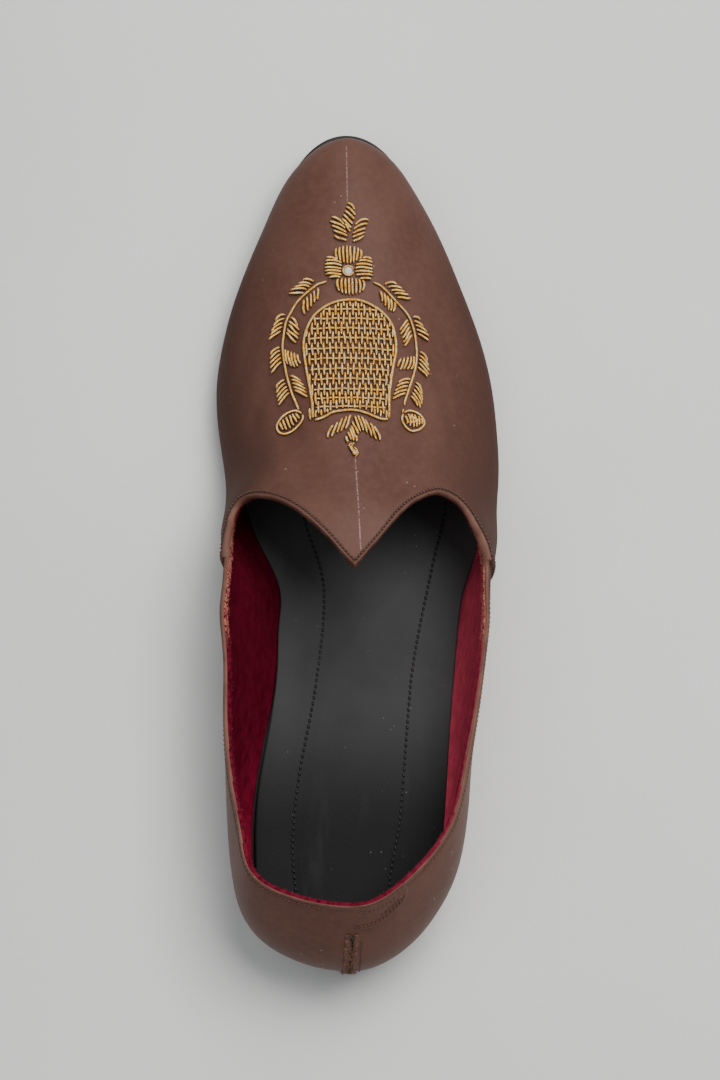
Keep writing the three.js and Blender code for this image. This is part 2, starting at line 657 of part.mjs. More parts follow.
function vineGeometry(sign) {
  const stem = curveThrough(STEM, ['across', 'ahead']);
  const length = stem.getLength() * MOTIF_LENGTH;
  const budHeading = stem.getTangentAt(1);
  const grid = [];
  for (let i = 0; i <= VINE_STEPS; i += 1) {
    const share = i / VINE_STEPS;
    const at = stem.getPointAt(share);
    const budShare = (share - BUD_AT) * length / (BUD_LENGTH / 2);
    const bud = BUD_WIDTH / 2 * Math.sqrt(Math.max(0, 1 - budShare ** 2));
    const halfWidth = (column) => VINE_LEAVES.reduce((widest, leaf) => {
      const inLeaf = clamp((share - leaf.at) / leaf.span, 0, 1);
      return Math.max(widest, leaf[column] * LEAF_REACH * Math.sin(Math.PI * inLeaf) ** 0.5);
    }, Math.max(STEM_WIDTH / 2, bud));
    const heading = bud > 0 ? budHeading : stem.getTangentAt(share);
    const slant = bud > 0 ? Math.PI / 2 : LEAF_SLANT;
    const offset = (distance, turn) => motifPlace(
      sign * (at.x + distance * (heading.x * Math.cos(turn) - heading.y * Math.sin(turn)) / MOTIF_LENGTH),
      at.y + distance * (heading.x * Math.sin(turn) + heading.y * Math.cos(turn)) / MOTIF_LENGTH,
    );
    const row = [
      offset(halfWidth('near'), -slant),
      offset(0, 0),
      offset(halfWidth('far'), slant),
    ];
    grid.push(sign > 0 ? row.reverse() : row);
  }
  return overlayGeometry(grid, THREAD_HEIGHT);
}

// Places round the back: across is a distance from the back seam, and up a share of the collar's up. How
// round the back is there is read a little way off the seam.
const BACK_SAMPLE = 0.05;

function placeRoundBack(across, collarShareUp) {
  const side = across < 0 ? 'inner' : 'outer';
  const up = collarShareUp * collarUp(0, side);
  const width = Math.abs(lastPoint(BACK_SAMPLE, side, up).x - CENTRE_LINE_OFFSET);
  const roundness = width / Math.sin(BACK_SAMPLE);
  const angle = Math.asin(clamp(Math.abs(across) / roundness, 0, 1));
  return { angle, side };
}

const roundBack = (across, collarShareUp) => {
  const { angle, side } = placeRoundBack(across, collarShareUp);
  return flatPoint(angle, side, collarShareUp * collarUp(angle, side));
};

// The tab starts at the back seam, runs over the outer side of the collar and ends in a round corner.
// reach is a share of TAB_REACH, and low and high are shares of the way up to the collar.
const TAB = [
  { reach: 0, low: 0.80, high: 0.985 },
  { reach: 0.25, low: 0.815, high: 0.985 },
  { reach: 0.55, low: 0.825, high: 0.985 },
  { reach: 0.80, low: 0.86, high: 0.985 },
  { reach: 0.93, low: 0.89, high: 0.985 },
  { reach: 1, low: 0.925, high: 0.965 },
];
const TAB_STEPS = 14;
const TAB_RINGS = 5;

function tabGeometry() {
  const lowEdge = curveThrough(TAB, ['reach', 'low']);
  const highEdge = curveThrough(TAB, ['reach', 'high']);
  const grid = [];
  for (let i = 0; i <= TAB_STEPS; i += 1) {
    const low = lowEdge.getPoint(i / TAB_STEPS);
    const high = highEdge.getPoint(i / TAB_STEPS);
    const row = Array.from({ length: TAB_RINGS + 1 }, (unused, j) =>
      roundBack(low.x * TAB_REACH, lerp(low.y, high.y, j / TAB_RINGS)));
    grid.push(row);
  }
  return overlayGeometry(grid.map((row) => [...row].reverse()), TAB_THICKNESS);
}

// The strip that covers the back seam, from the sole up to the tab
const STRIP_STEPS = 14;
const STRIP_COLUMNS = 4;
const STRIP_LOW = 0.04;
const STRIP_TOP = 0.775;

function seamStripGeometry() {
  const grid = [];
  for (let i = 0; i <= STRIP_STEPS; i += 1) {
    const rise = lerp(STRIP_LOW, STRIP_TOP, i / STRIP_STEPS);
    grid.push(Array.from({ length: STRIP_COLUMNS + 1 }, (unused, j) =>
      roundBack(SEAM_STRIP_WIDTH * (j / STRIP_COLUMNS - 0.5), rise)));
  }
  return overlayGeometry(grid, SEAM_STRIP_THICKNESS);
}

const brownLeather = { color: 0x5f4037, roughness: 0.48, metalness: 0 };
const stackedLeather = { color: 0x2a1d18, roughness: 0.6, metalness: 0 };
const blackSole = { color: 0x15100e, roughness: 0.55, metalness: 0 };
const charcoalPad = { color: 0x27282b, roughness: 0.85, metalness: 0 };
const goldThread = { color: 0xb98a4a, roughness: 0.4, metalness: 0.75 };
const clearCrystal = { color: 0xf2f4f6, roughness: 0.08, metalness: 0 };

const group = new THREE.Group();
function addPiece(name, geometry, finish) {
  const mesh = new THREE.Mesh(geometry, new THREE.MeshStandardMaterial(finish));
  mesh.name = name;
  group.add(mesh);
}

addPiece('outsole', outsoleGeometry(), blackSole);
addPiece('heel', heelGeometry(), stackedLeather);
addPiece('insole', insoleGeometry(), charcoalPad);
addPiece('upper', upperGeometry(), brownLeather);
addPiece('heel_tab', tabGeometry(), brownLeather);
addPiece('back_seam_strip', seamStripGeometry(), brownLeather);
addPiece('embroidery_panel', panelGeometry(), goldThread);
addPiece('embroidery_flower', roundMotifGeometry(FLOWER, petals, 4, 40, THREAD_HEIGHT), goldThread);
addPiece('toe_sprig', roundMotifGeometry(TOE_SPRIG, sprigReach(TOE_SPRIG), 4, 36, THREAD_HEIGHT), goldThread);
addPiece('throat_sprig', roundMotifGeometry(THROAT_SPRIG, sprigReach(THROAT_SPRIG), 4, 36, THREAD_HEIGHT), goldThread);
addPiece('vine_inner', vineGeometry(-1), goldThread);
addPiece('vine_outer', vineGeometry(1), goldThread);
addPiece('flower_crystal', roundMotifGeometry(FLOWER, () => CRYSTAL_DIAMETER / 2, 2, 12, CRYSTAL_HEIGHT,
  2 * JOIN_GAP + THREAD_HEIGHT), clearCrystal);

// The origin is the bottom centre of the whole shoe
const box = new THREE.Box3().setFromObject(group);
group.position.set(-(box.min.x + box.max.x) / 2, -(box.min.y + box.max.y) / 2, 0);

export default group;
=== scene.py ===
import bpy
import numpy as np
from mathutils import Matrix, Vector


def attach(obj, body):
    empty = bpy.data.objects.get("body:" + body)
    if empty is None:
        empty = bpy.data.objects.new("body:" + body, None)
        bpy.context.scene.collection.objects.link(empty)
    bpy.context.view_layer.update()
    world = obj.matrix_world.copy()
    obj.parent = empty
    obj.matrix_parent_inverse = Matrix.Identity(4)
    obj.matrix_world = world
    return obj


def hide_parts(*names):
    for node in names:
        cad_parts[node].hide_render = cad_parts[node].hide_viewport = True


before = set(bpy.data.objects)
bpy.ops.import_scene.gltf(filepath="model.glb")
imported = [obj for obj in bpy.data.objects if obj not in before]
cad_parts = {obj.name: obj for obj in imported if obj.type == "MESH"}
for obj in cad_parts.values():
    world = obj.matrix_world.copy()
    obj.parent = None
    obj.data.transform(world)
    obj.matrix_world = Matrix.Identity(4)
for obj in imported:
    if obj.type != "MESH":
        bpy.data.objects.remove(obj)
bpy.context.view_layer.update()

# The upper
# Smooth brown leather: a vamp that covers the toes and instep, and two quarters that meet at the back. It is
# pulled over a wooden last and pasted to a red suede lining. The vamp laps over the quarters at the side
# seams, and the topline is folded over.
SHOE_LENGTH = 292.0
UPPER_LENGTH = 289.5
BALL_WIDTH = 96.0
INSTEP_HEIGHT = 63.0
HEEL_HEIGHT = 12.0
TOE_SPRING = 10.0
EDGE_RISE = 4.3
WALL = 2.2
COLLAR_BACK_HEIGHT = 58.0
COLLAR_DROP = 11.5
BACK_SWELL_HEIGHT = 28.0
BACK_LEAN = 18.0
BACK_TUCK = 4.0
VAMP_LAP = 1.0
LAP_FADE = 0.16
CENTRE_X = -3.9
BACK_Y = -145.45

# Sections of the last: along, inner edge, swell and shoulder, outer edge, swell and shoulder, inner flare,
# outer flare, rise and crown. Widths are shares of the ball width, and heights shares of the instep height.
SECTIONS = np.array([
    [0.02, 0.219, 0.249, 0.310, 0.172, 0.190, 0.100, 0, 0, 0.27, 1.25],
    [0.10, 0.344, 0.500, 0.320, 0.312, 0.466, 0.205, 0, 0, 0.27, 1.25],
    [0.19, 0.341, 0.537, 0.395, 0.346, 0.538, 0.275, 0, 0, 0.27, 1.25],
    [0.27, 0.301, 0.482, 0.545, 0.369, 0.490, 0.470, 0.03, 0.02, 0.26, 1.18],
    [0.35, 0.263, 0.373, 0.626, 0.396, 0.470, 0.538, 0.073, 0.052, 0.24, 1.04],
    [0.40, 0.254, 0.350, 0.538, 0.416, 0.451, 0.550, 0.104, 0.073, 0.21, 0.855],
    [0.44, 0.249, 0.328, 0.485, 0.444, 0.418, 0.590, 0.125, 0.073, 0.19, 0.84],
    [0.50, 0.307, 0.535, 0.345, 0.474, 0.632, 0.350, 0.105, 0.09, 0.19, 0.835],
    [0.54, 0.359, 0.540, 0.296, 0.503, 0.634, 0.316, 0.08, 0.06, 0.19, 0.79],
    [0.59, 0.408, 0.519, 0.268, 0.520, 0.643, 0.303, 0.03, 0.02, 0.18, 0.73],
    [0.64, 0.435, 0.536, 0.274, 0.518, 0.635, 0.304, 0, 0, 0.17, 0.68],
    [0.70, 0.442, 0.542, 0.278, 0.500, 0.610, 0.302, 0, 0, 0.17, 0.625],
    [0.76, 0.413, 0.509, 0.269, 0.456, 0.562, 0.286, 0, 0, 0.16, 0.575],
    [0.82, 0.362, 0.451, 0.245, 0.391, 0.485, 0.258, 0, 0, 0.16, 0.545],
    [0.88, 0.294, 0.369, 0.206, 0.317, 0.398, 0.221, 0, 0, 0.15, 0.515],
    [0.94, 0.218, 0.275, 0.158, 0.222, 0.282, 0.162, 0, 0, 0.15, 0.475],
    [0.98, 0.128, 0.166, 0.097, 0.133, 0.172, 0.100, 0, 0, 0.15, 0.45],
])
# The collar's height: along, and then the inner and the outer share of COLLAR_DROP above the lowest
COLLAR = np.array([
    [0, 1, 1], [0.03, 0.81, 0.95], [0.07, 0.60, 0.80], [0.11, 0.46, 0.60], [0.16, 0.28, 0.36],
    [0.23, 0.12, 0.15], [0.31, 0.03, 0.04], [0.40, 0, 0], [0.48, -0.12, -0.12],
])
SIDE_SEAM = 0.45
INNER_ARCH = np.array([
    [0.490, 0.610], [0.506, 0.600], [0.519, 0.615], [0.523, 0.655], [0.518, 0.718],
    [0.503, 0.793], [0.477, 0.869], [0.440, 0.943], [0.399, 1],
])
OUTER_ARCH = np.array([
    [0.488, 0.648], [0.505, 0.655], [0.518, 0.675], [0.5235, 0.717], [0.519, 0.768],
    [0.497, 0.840], [0.466, 0.910], [0.433, 0.961], [0.399, 1],
])


def smooth_step(value, low, high):
    """Nought below low, one above high, and three t squared less two t cubed between them."""
    share = np.clip((value - low) / (high - low), 0, 1)
    return share * share * (3 - 2 * share)


def level_curve(knots, values):
    """A cubic spline through rows of values at the knots, with no slope at either end."""
    step = np.diff(knots)[:, None]
    slope = np.diff(values, axis=0) / step
    still = np.zeros((1, values.shape[1]))
    before, after = np.r_[0, step[:, 0]], np.r_[step[:, 0], 0]
    matrix = np.diag(2 * (before + after)) + np.diag(step[:, 0], 1) + np.diag(step[:, 0], -1)
    bend = np.linalg.solve(matrix, 6 * (np.vstack([slope, still]) - np.vstack([still, slope])))

    def curve(place):
        place = np.clip(place, knots[0], knots[-1])
        cell = np.clip(np.searchsorted(knots, place, side="right") - 1, 0, len(knots) - 2)
        width = step[cell]
        a = (knots[cell + 1] - place)[..., None] / width
        b = 1 - a
        bow = ((a**3 - a) * bend[cell] + (b**3 - b) * bend[cell + 1]) * width**2 / 6
        return a * values[cell] + b * values[cell + 1] + bow

    return curve


def angle_at(along):
    """The angle along the last, nought at the back and half a turn at the toe, whose cosine is 1 - 2 along."""
    return np.arccos(1 - 2 * along)


section_angles = angle_at(SECTIONS[:, 0])
round_widths = SECTIONS[:, 1:7] * BALL_WIDTH / np.sin(section_angles)[:, None]
section_sizes = np.hstack([round_widths, SECTIONS[:, 7:9] * BALL_WIDTH, SECTIONS[:, 9:] * INSTEP_HEIGHT])
last_sizes = level_curve(section_angles, section_sizes)
collar_shares = level_curve(angle_at(COLLAR[:, 0]), COLLAR[:, 1:])


def underside(forward):
    """The outsole's underside: the heel's height falls away by a smooth step, and the toe springs up by a
    square."""
    share = forward / SHOE_LENGTH
    heel = HEEL_HEIGHT * (1 - smooth_step(share, 0.24, 0.55))
    return heel + TOE_SPRING * np.maximum(0, (share - 0.68) / 0.32) ** 2


def bezier(a, b, c, d, t):
    """The cubic Bezier of four values at t."""
    return a * (1 - t) ** 3 + 3 * b * (1 - t) ** 2 * t + 3 * c * (1 - t) * t**2 + d * t**3


def back_setback(height):
    """The back stands in by a square below its swell, and leans forward by a smooth step above it."""
    low = np.clip((BACK_SWELL_HEIGHT - height) / (BACK_SWELL_HEIGHT - HEEL_HEIGHT - EDGE_RISE), 0, 1)
    high = (height - BACK_SWELL_HEIGHT) / (COLLAR_BACK_HEIGHT - BACK_SWELL_HEIGHT)
    return BACK_TUCK * low**2 + BACK_LEAN * smooth_step(high, 0, 1.4) / smooth_step(1.0, 0, 1.4)


def edge_height(angle):
    """The height of the upper's lower edge, one sole and a gap above the underside."""
    along = (1 - np.cos(angle)) / 2
    return underside(BACK_TUCK + (UPPER_LENGTH - BACK_TUCK) * along) + EDGE_RISE


def last_point(angle, side, up):
    """Out from the centre a section is a Bezier of edge, swell, shoulder and nought over up, times the sine
    of the angle, plus a flare. Its height is a Bezier of rise and crown above the edge."""
    angle, side, up = np.broadcast_arrays(angle, side, up)
    size = last_sizes(angle)
    inner = side < 0
    edge, swell, shoulder = (np.where(inner, size[..., i], size[..., i + 3]) for i in range(3))
    flare = np.where(inner, size[..., 6], size[..., 7])
    roundness = np.sin(angle)
    across = roundness * bezier(edge, swell, shoulder, 0, up) + flare * np.sin(np.pi * up**1.61) ** 2
    dome = np.where(angle > np.pi / 2, np.maximum(roundness, 0) ** 0.6, 1)
    height = edge_height(angle) + dome * bezier(0, size[..., 8], size[..., 9], size[..., 9], up)
    start = back_setback(height)
    forward = start + (UPPER_LENGTH - start) * (1 - np.cos(angle)) / 2
    return np.stack([side * across + CENTRE_X, forward + BACK_Y, height], axis=-1)


def flat_place(angle, side, up):
    """The skin laid out flat: across is the cosine of a quarter turn times up, in a rectangle behind the
    middle and a half disc in front of it."""
    across = side * np.cos(np.pi * up / 2)
    front = angle > np.pi / 2
    return np.stack([across * np.where(front, np.sin(angle), 1),
                     np.where(front, -np.cos(angle), angle - np.pi / 2)], axis=-1)


def skin_point(flat):
    """The place on the last of a place on the flat layout."""
    behind = flat[..., 1] <= 0
    angle = np.where(behind, flat[..., 1] + np.pi / 2, np.arccos(-np.clip(flat[..., 1], 0, 1)))
    reach = np.where(behind, 1, np.sqrt(np.maximum(1 - flat[..., 1] ** 2, 1e-12)))
    across = np.clip(flat[..., 0] / reach, -1, 1)
    return last_point(angle, np.where(across < 0, -1, 1), 2 * np.arccos(np.abs(across)) / np.pi)


def collar_up(angle, side):
    """How far up its section the collar lies, found by halving."""
    share = collar_shares(angle)
    target = COLLAR_BACK_HEIGHT - COLLAR_DROP * (1 - np.where(side < 0, share[..., 0], share[..., 1]))
    low, high = np.zeros_like(target), np.ones_like(target)
    for _ in range(30):
        middle = (low + high) / 2
        under = last_point(angle, side, middle)[..., 2] < target
        low, high = np.where(under, middle, low), np.where(under, high, middle)
    return low


def even_path(points, shares):
    """The places at shares of a polyline's length."""
    length = np.r_[0, np.cumsum(np.linalg.norm(np.diff(points, axis=0), axis=1))]
    at = np.asarray(shares) * length[-1]
    return np.stack([np.interp(at, length, column) for column in points.T], axis=-1)


def soft_path(points, count=400):
    """A uniform Catmull-Rom curve: cubics whose slope at a point is half the way from its two neighbours."""
    points = np.asarray(points, float)
    padded = np.vstack([points[:1], points, points[-1:]])
    at = np.linspace(0, len(points) - 1 - 1e-9, count)
    cell = at.astype(int)
    t = (at - cell)[:, None]
    p0, p1, p2, p3 = (padded[cell + i] for i in range(4))
    v0, v1 = (p2 - p0) / 2, (p3 - p1) / 2
    return (2 * p1 - 2 * p2 + v0 + v1) * t**3 + (3 * p2 - 3 * p1 - 2 * v0 - v1) * t**2 + v0 * t + p1


seam_angle = angle_at(SIDE_SEAM)
seam_y = seam_angle - np.pi / 2
QUARTER_LINES = 84
VAMP_LINES = 150
SEAM_ROUND = 0.004
lap_shares = SEAM_ROUND * np.array([0.12, 0.3, 0.6, 1.0])
vamp_shares = np.r_[0, lap_shares, np.linspace(0, 1, VAMP_LINES + 1)[1:]]


def quarter_lines(side):
    """Straight lines over the flat layout from the edge to the collar, from the back seam to the side seam."""
    angle = seam_angle * np.linspace(0, 1, QUARTER_LINES + 1)
    top = collar_up(angle, side)
    return flat_place(angle, side, 0 * top), flat_place(angle, side, top), np.pi * top / 2


def vamp_lines(side, arch):
    """Lines from the edge round the toe to the throat's arch, both shared out evenly by length."""
    top = collar_up(seam_angle * np.ones(1), side)
    corners = np.vstack([flat_place(seam_angle * np.ones(1), side, top),
                         flat_place(angle_at(arch[:, 0]), side, arch[:, 1])])
    topline = even_path(soft_path(corners), vamp_shares)
    run = vamp_shares * (np.pi / 2 - seam_y) + seam_y
    edge = np.stack([side * np.cos(np.maximum(run, 0)), np.where(run < 0, run, np.sin(np.maximum(run, 0)))], -1)
    turn = np.pi * top / 2 * (1 - vamp_shares) + np.pi * 0.55 * vamp_shares
    return edge, topline, turn


inner_quarter, outer_quarter = quarter_lines(-1), quarter_lines(1)
inner_vamp, outer_vamp = vamp_lines(-1, INNER_ARCH), vamp_lines(1, OUTER_ARCH)
line_from, line_to, line_turn = (
    np.concatenate([a[:-1], b, c[::-1][1:], d[::-1][1:-1]])
    for a, b, c, d in zip(inner_quarter, inner_vamp, outer_vamp, outer_quarter))
vamp_step = np.clip(vamp_shares / SEAM_ROUND, 0, 1)
vamp_step = np.sqrt(1 - (1 - vamp_step) ** 2)
quarter_still = np.zeros(QUARTER_LINES)
line_lap = np.concatenate([quarter_still, vamp_step, vamp_step[::-1][1:], quarter_still[1:]])


def skin_on_lines(share):
    """Points on the skin where each line's share is given, and the flat layout's places."""
    spread = (1 - np.cos(line_turn[:, None] * share)) / (1 - np.cos(line_turn[:, None]))
    flat = line_from[:, None] + (line_to - line_from)[:, None] * spread[..., None]
    return skin_point(flat), flat


def unit(vectors):
    """Vectors of length one."""
    return vectors / np.maximum(np.linalg.norm(vectors, axis=-1, keepdims=True), 1e-9)


def skin_rings(distances, rest):
    """Rings at distances down from the topline, and then evenly down to the edge. Each has its points,
    outward directions, flat places and distances."""
    ones = np.ones((len(line_turn), 1))
    per_share = np.linalg.norm(skin_on_lines(ones)[0] - skin_on_lines(0.985 * ones)[0], axis=-1) / 0.015
    near = 1 - np.asarray(distances)[None] / per_share
    far = near[:, -1:] * (1 - np.linspace(0, 1, rest + 1)[None, 1:])
    share = np.clip(np.hstack([near, far]), 0, 1)
    points, flat = skin_on_lines(share)
    below = skin_on_lines(np.maximum(share - 0.01, 0))[0]
    above = skin_on_lines(np.minimum(share + 0.01, 1))[0]
    across = np.roll(points, -1, axis=0) - np.roll(points, 1, axis=0)
    return points, unit(np.cross(above - below, across)), flat, per_share * (1 - share)


# Soft folds of the worn leather: from and to in plan, across from the centre line and forward, then the
# half-width and the height. Troughs run beside the tongue, and flex creases lie across the vamp.
FOLD_STRENGTH = 1.5
FOLDS = np.array([
    [-10, 150, -27, 186, 7.0, -0.55], [11, 150, 28, 184, 7.0, -0.55], [-22, 160, -31, 196, 4.5, 0.35],
    [24, 158, 33, 194, 4.5, 0.35], [-4, 168, 5, 150, 9.0, 0.30], [-26, 172, -8, 165, 1.6, -0.16],
    [8, 166, 27, 173, 1.6, -0.16], [-18, 158, -5, 153, 1.3, -0.14], [5, 152, 19, 158, 1.3, -0.14],
    [3, 162, 15, 167, 1.0, -0.10], [-15, 168, -5, 162, 1.0, -0.10], [-33, 182, -26, 204, 2.6, -0.22],
    [35, 180, 29, 206, 2.6, -0.22], [-36, 205, -30, 226, 3.2, -0.18], [37, 203, 31, 228, 3.2, -0.18],
    [-12, 276, 12, 277, 2.2, -0.10], [-34, 84, -35, 60, 5.0, -0.30], [36, 86, 38, 58, 5.0, -0.30],
])


def fold_height(across, forward):
    """Each fold is its height times a bell of the distance from its line, tapered over its length. Slow
    waves of a tenth of a millimetre are added."""
    total = 0.05 * np.sin(across / 7.3 + 1.1) * np.sin(forward / 11.7)
    total = total + 0.04 * np.sin(across / 3.9 + forward / 6.1)
    for x0, y0, x1, y1, width, height in FOLDS:
        length = np.hypot(x1 - x0, y1 - y0)
        along = ((across - x0) * (x1 - x0) + (forward - y0) * (y1 - y0)) / length
        off = ((across - x0) * (y1 - y0) - (forward - y0) * (x1 - x0)) / length
        off = off + 0.12 * width * np.sin(along / width)
        taper = smooth_step(along, -width, 2 * width)
        taper = taper * (1 - smooth_step(along, length - 2 * width, length + width))
        total = total + FOLD_STRENGTH * height * np.exp(-((off / width) ** 2)) * taper
    return total


STITCH_INSET = 2.3
OUTER_RINGS = 92
near_topline = np.array([0.9, 1.3, 1.6, 1.85, 2.05, 2.3, 2.55, 2.8, 3.3, 4.2, 5.4, 7.0])
outer, outer_way, outer_flat, outer_drop = skin_rings(near_topline, OUTER_RINGS)
lap = VAMP_LAP * line_lap[:, None] * (1 - smooth_step(outer_flat[..., 1], seam_y, seam_y + LAP_FADE))
rim = 0.12 * np.exp(-((outer_drop - 1.0) / 0.6) ** 2)
rim = rim - 0.18 * np.exp(-((outer_drop - STITCH_INSET) / 0.5) ** 2)
folds = fold_height(outer[..., 0] - CENTRE_X, outer[..., 1] - BACK_Y) * smooth_step(outer_drop, 3, 9)
outer_skin = outer + outer_way * (lap + rim + folds)[..., None]

# The fold at the topline is half an ellipse, from the outer skin round to the lining's side, in rings counted
# from the outside. cut_at is the ring where the leather ends and the lining starts: on top of the fold at the
# quarters, where a shallow slit shows between the two cut edges, and well inside on the vamp.
FOLD_RINGS = 14
SLIT_DEPTH = 0.42
SLIT_WIDTH = 0.17
SLIT_LAST_RING = 9
ones = np.ones((len(line_turn), 1))
top_way = unit(skin_on_lines(ones)[0] - skin_on_lines(0.985 * ones)[0])
turn = np.linspace(0, np.pi, FOLD_RINGS + 2)[None, 1:-1, None]
quarter_cut = 4.3 + 3.7 * smooth_step(np.arange(QUARTER_LINES), 30, 62)
vamp_cut = 9.5 + 5.5 * smooth_step(vamp_shares, 0.15, 0.34)
cut_at = np.concatenate([quarter_cut, vamp_cut, vamp_cut[::-1][1:], quarter_cut[::-1][:-1]])
slit_turn = np.pi / (FOLD_RINGS + 1) * (cut_at[:, None, None] + 0.5)
slit = np.exp(-((turn - slit_turn) / SLIT_WIDTH) ** 2) * (cut_at < SLIT_LAST_RING)[:, None, None]
half_wall = (WALL + lap + rim)[:, :1, None] / 2
fold_middle = outer[:, :1] + outer_way[:, :1] * ((lap + rim)[:, :1, None] - half_wall)
fold = fold_middle + outer_way[:, :1] * half_wall * np.cos(turn)
fold = fold + top_way * near_topline[0] * np.sin(turn) * (1 - SLIT_DEPTH * slit)

# Inside, the lining's cut edge stands a little proud of the turned leather
LINING_PROUD = 0.35
inner_drops = np.array([0.9, 1.3, 1.35, 1.7, 2.5, 3.6, 5.0, 7.0])
INNER_RINGS = 44
inner_base, inner_way, _, inner_drop = skin_rings(inner_drops, INNER_RINGS)
proud = LINING_PROUD * smooth_step(inner_drop, 1.3, 1.36) * (1 - 0.4 * smooth_step(inner_drop, 2, 5))
lining_depth = WALL + proud
inner_skin = inner_base - inner_way * lining_depth[..., None]
upper_grid = np.concatenate([outer_skin[:, ::-1], fold, inner_skin], axis=1)
drops = np.concatenate([outer_drop[:, ::-1], 0 * fold[..., 0], inner_drop], axis=1)
outer_count = outer_skin.shape[1]


def grid_faces(rows, columns, round_rows=False, round_columns=False):
    """Four-cornered faces between the neighbours of a grid of points, closed round where asked."""
    i = np.arange(rows if round_rows else rows - 1)[:, None]
    j = np.arange(columns if round_columns else columns - 1)[None]
    i2, j2 = (i + 1) % rows, (j + 1) % columns
    return np.stack([i * columns + j, i * columns + j2, i2 * columns + j2, i2 * columns + j], -1).reshape(-1, 4)


def make_piece(name, points, faces, materials, values=None, face_materials=None, smooth=True):
    """A closed mesh from points in millimetres and faces, turned outwards by the sign of its volume."""
    mesh = bpy.data.meshes.new(name)
    mesh.from_pydata((points / 1000).tolist(), [], [face for group in faces for face in group.tolist()])
    mesh.update()
    mesh.calc_loop_triangles()
    corners = np.zeros(len(mesh.loop_triangles) * 3, int)
    mesh.loop_triangles.foreach_get("vertices", corners)
    a, b, c = points[corners.reshape(-1, 3)].transpose(1, 0, 2)
    if np.sum(np.cross(a, b) * c) < 0:
        mesh.flip_normals()
    mesh.polygons.foreach_set("use_smooth", np.full(len(mesh.polygons), smooth))
    for material in materials:
        mesh.materials.append(material)
    if face_materials is not None:
        mesh.polygons.foreach_set("material_index", face_materials)
    for key, numbers in (values or {}).items():
        mesh.attributes.new(key, "FLOAT", "POINT").data.foreach_set("value", np.ravel(numbers))
    piece = bpy.data.objects.new(name, mesh)
    bpy.context.scene.collection.objects.link(piece)
    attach(piece, "root")
    return piece


class Socket:
    """A node's output socket. Arithmetic on it adds Math nodes, and node() adds any other kind."""

    def __init__(self, tree, output=None):
        self.tree = tree
        self.output = output

    def node(self, kind, settings=None, inputs=None, output=0):
        new = self.tree.nodes.new(kind)
        for name, value in (settings or {}).items():
            setattr(new, name, value)
        for name, value in (inputs or {}).items():
            if isinstance(value, Socket):
                self.tree.links.new(value.output, new.inputs[name])
            else:
                new.inputs[name].default_value = value
        return Socket(self.tree, new.outputs[output])

    def math(self, operation, *values):
        return self.node("ShaderNodeMath", {"operation": operation}, dict(enumerate(values)))

    def __add__(self, other):
        return self.math("ADD", self, other)

    def __sub__(self, other):
        return self.math("SUBTRACT", self, other)

    def __mul__(self, other):
        return self.math("MULTIPLY", self, other)

    __radd__ = __add__
    __rmul__ = __mul__

    def axis(self, index):
        """One part of a vector: nought is X, one Y and two Z."""
        return self.node("ShaderNodeSeparateXYZ", None, {0: self}, index)

    def mark(self, name):
        """A number that the mesh carries at each point."""
        return self.node("ShaderNodeAttribute", {"attribute_name": name}, output=2)

    def sine(self):
        return self.math("SINE", self)

    def step(self, low, high):
        """A smooth step from nought at low to one at high; low may be the larger."""
        ends = {"Value": self, "From Min": low, "From Max": high}
        return self.node("ShaderNodeMapRange", {"interpolation_type": "SMOOTHSTEP"}, ends)

    def blend(self, first, second):
        """The first colour where this mask is nought, and the second where it is one."""
        return self.node("ShaderNodeMix", {"data_type": "RGBA"}, {0: self, 6: first, 7: second}, 2)

    def noise(self, scale, detail=2.0, stretch=(1, 1, 1), roughness=0.5):
        """Cloudy noise of so many waves a metre, on this socket's coordinates, stretched along an axis."""
        place = self.node("ShaderNodeMapping", None, {0: self, "Scale": stretch})
        inputs = {"Vector": place, "Scale": scale, "Detail": detail, "Roughness": roughness}
        return self.node("ShaderNodeTexNoise", None, inputs)

    def cells(self, scale):
        """The distance from scattered points, so many a metre."""
        return self.node("ShaderNodeTexVoronoi", None, {"Vector": self, "Scale": scale})

    def bump(self, strength, distance, under=None):
        """A bump of this height map. Distance is in metres."""
        inputs = {"Height": self, "Strength": strength, "Distance": distance}
        if under is not None:
            inputs["Normal"] = under
        return self.node("ShaderNodeBump", None, inputs)


def new_material(name):
    """A material, and its object coordinates to start patterns from."""
    material = bpy.data.materials.new(name)
    material.use_nodes = True
    return material, Socket(material.node_tree).node("ShaderNodeTexCoord", output=3)


def finish_material(material, links, **constants):
    """Links and constants go to the sockets of the material's own shader."""
    shader = next(node for node in material.node_tree.nodes if node.type == "BSDF_PRINCIPLED")
    for name, socket in links.items():
        material.node_tree.links.new(socket.output, shader.inputs[name])
    for name, value in constants.items():
        shader.inputs[name.replace("_", " ")].default_value = value


def chalk_line(place, level, near, far, foot_x, lean):
    """A dotted line on the vamp, from near to far forward in metres, that leans from its foot."""
    forward = place.axis(1)
    off = place.axis(0) - (foot_x + lean * (forward - near))
    dots = place.noise(1100, 3, (0.5, 1, 1), 0.7).step(0.40, 0.56)
    ends = forward.step(near - 0.001, near) * forward.step(far + 0.001, far)
    return off.math("ABSOLUTE", off).step(0.00030, 0.00008) * dots * ends * level


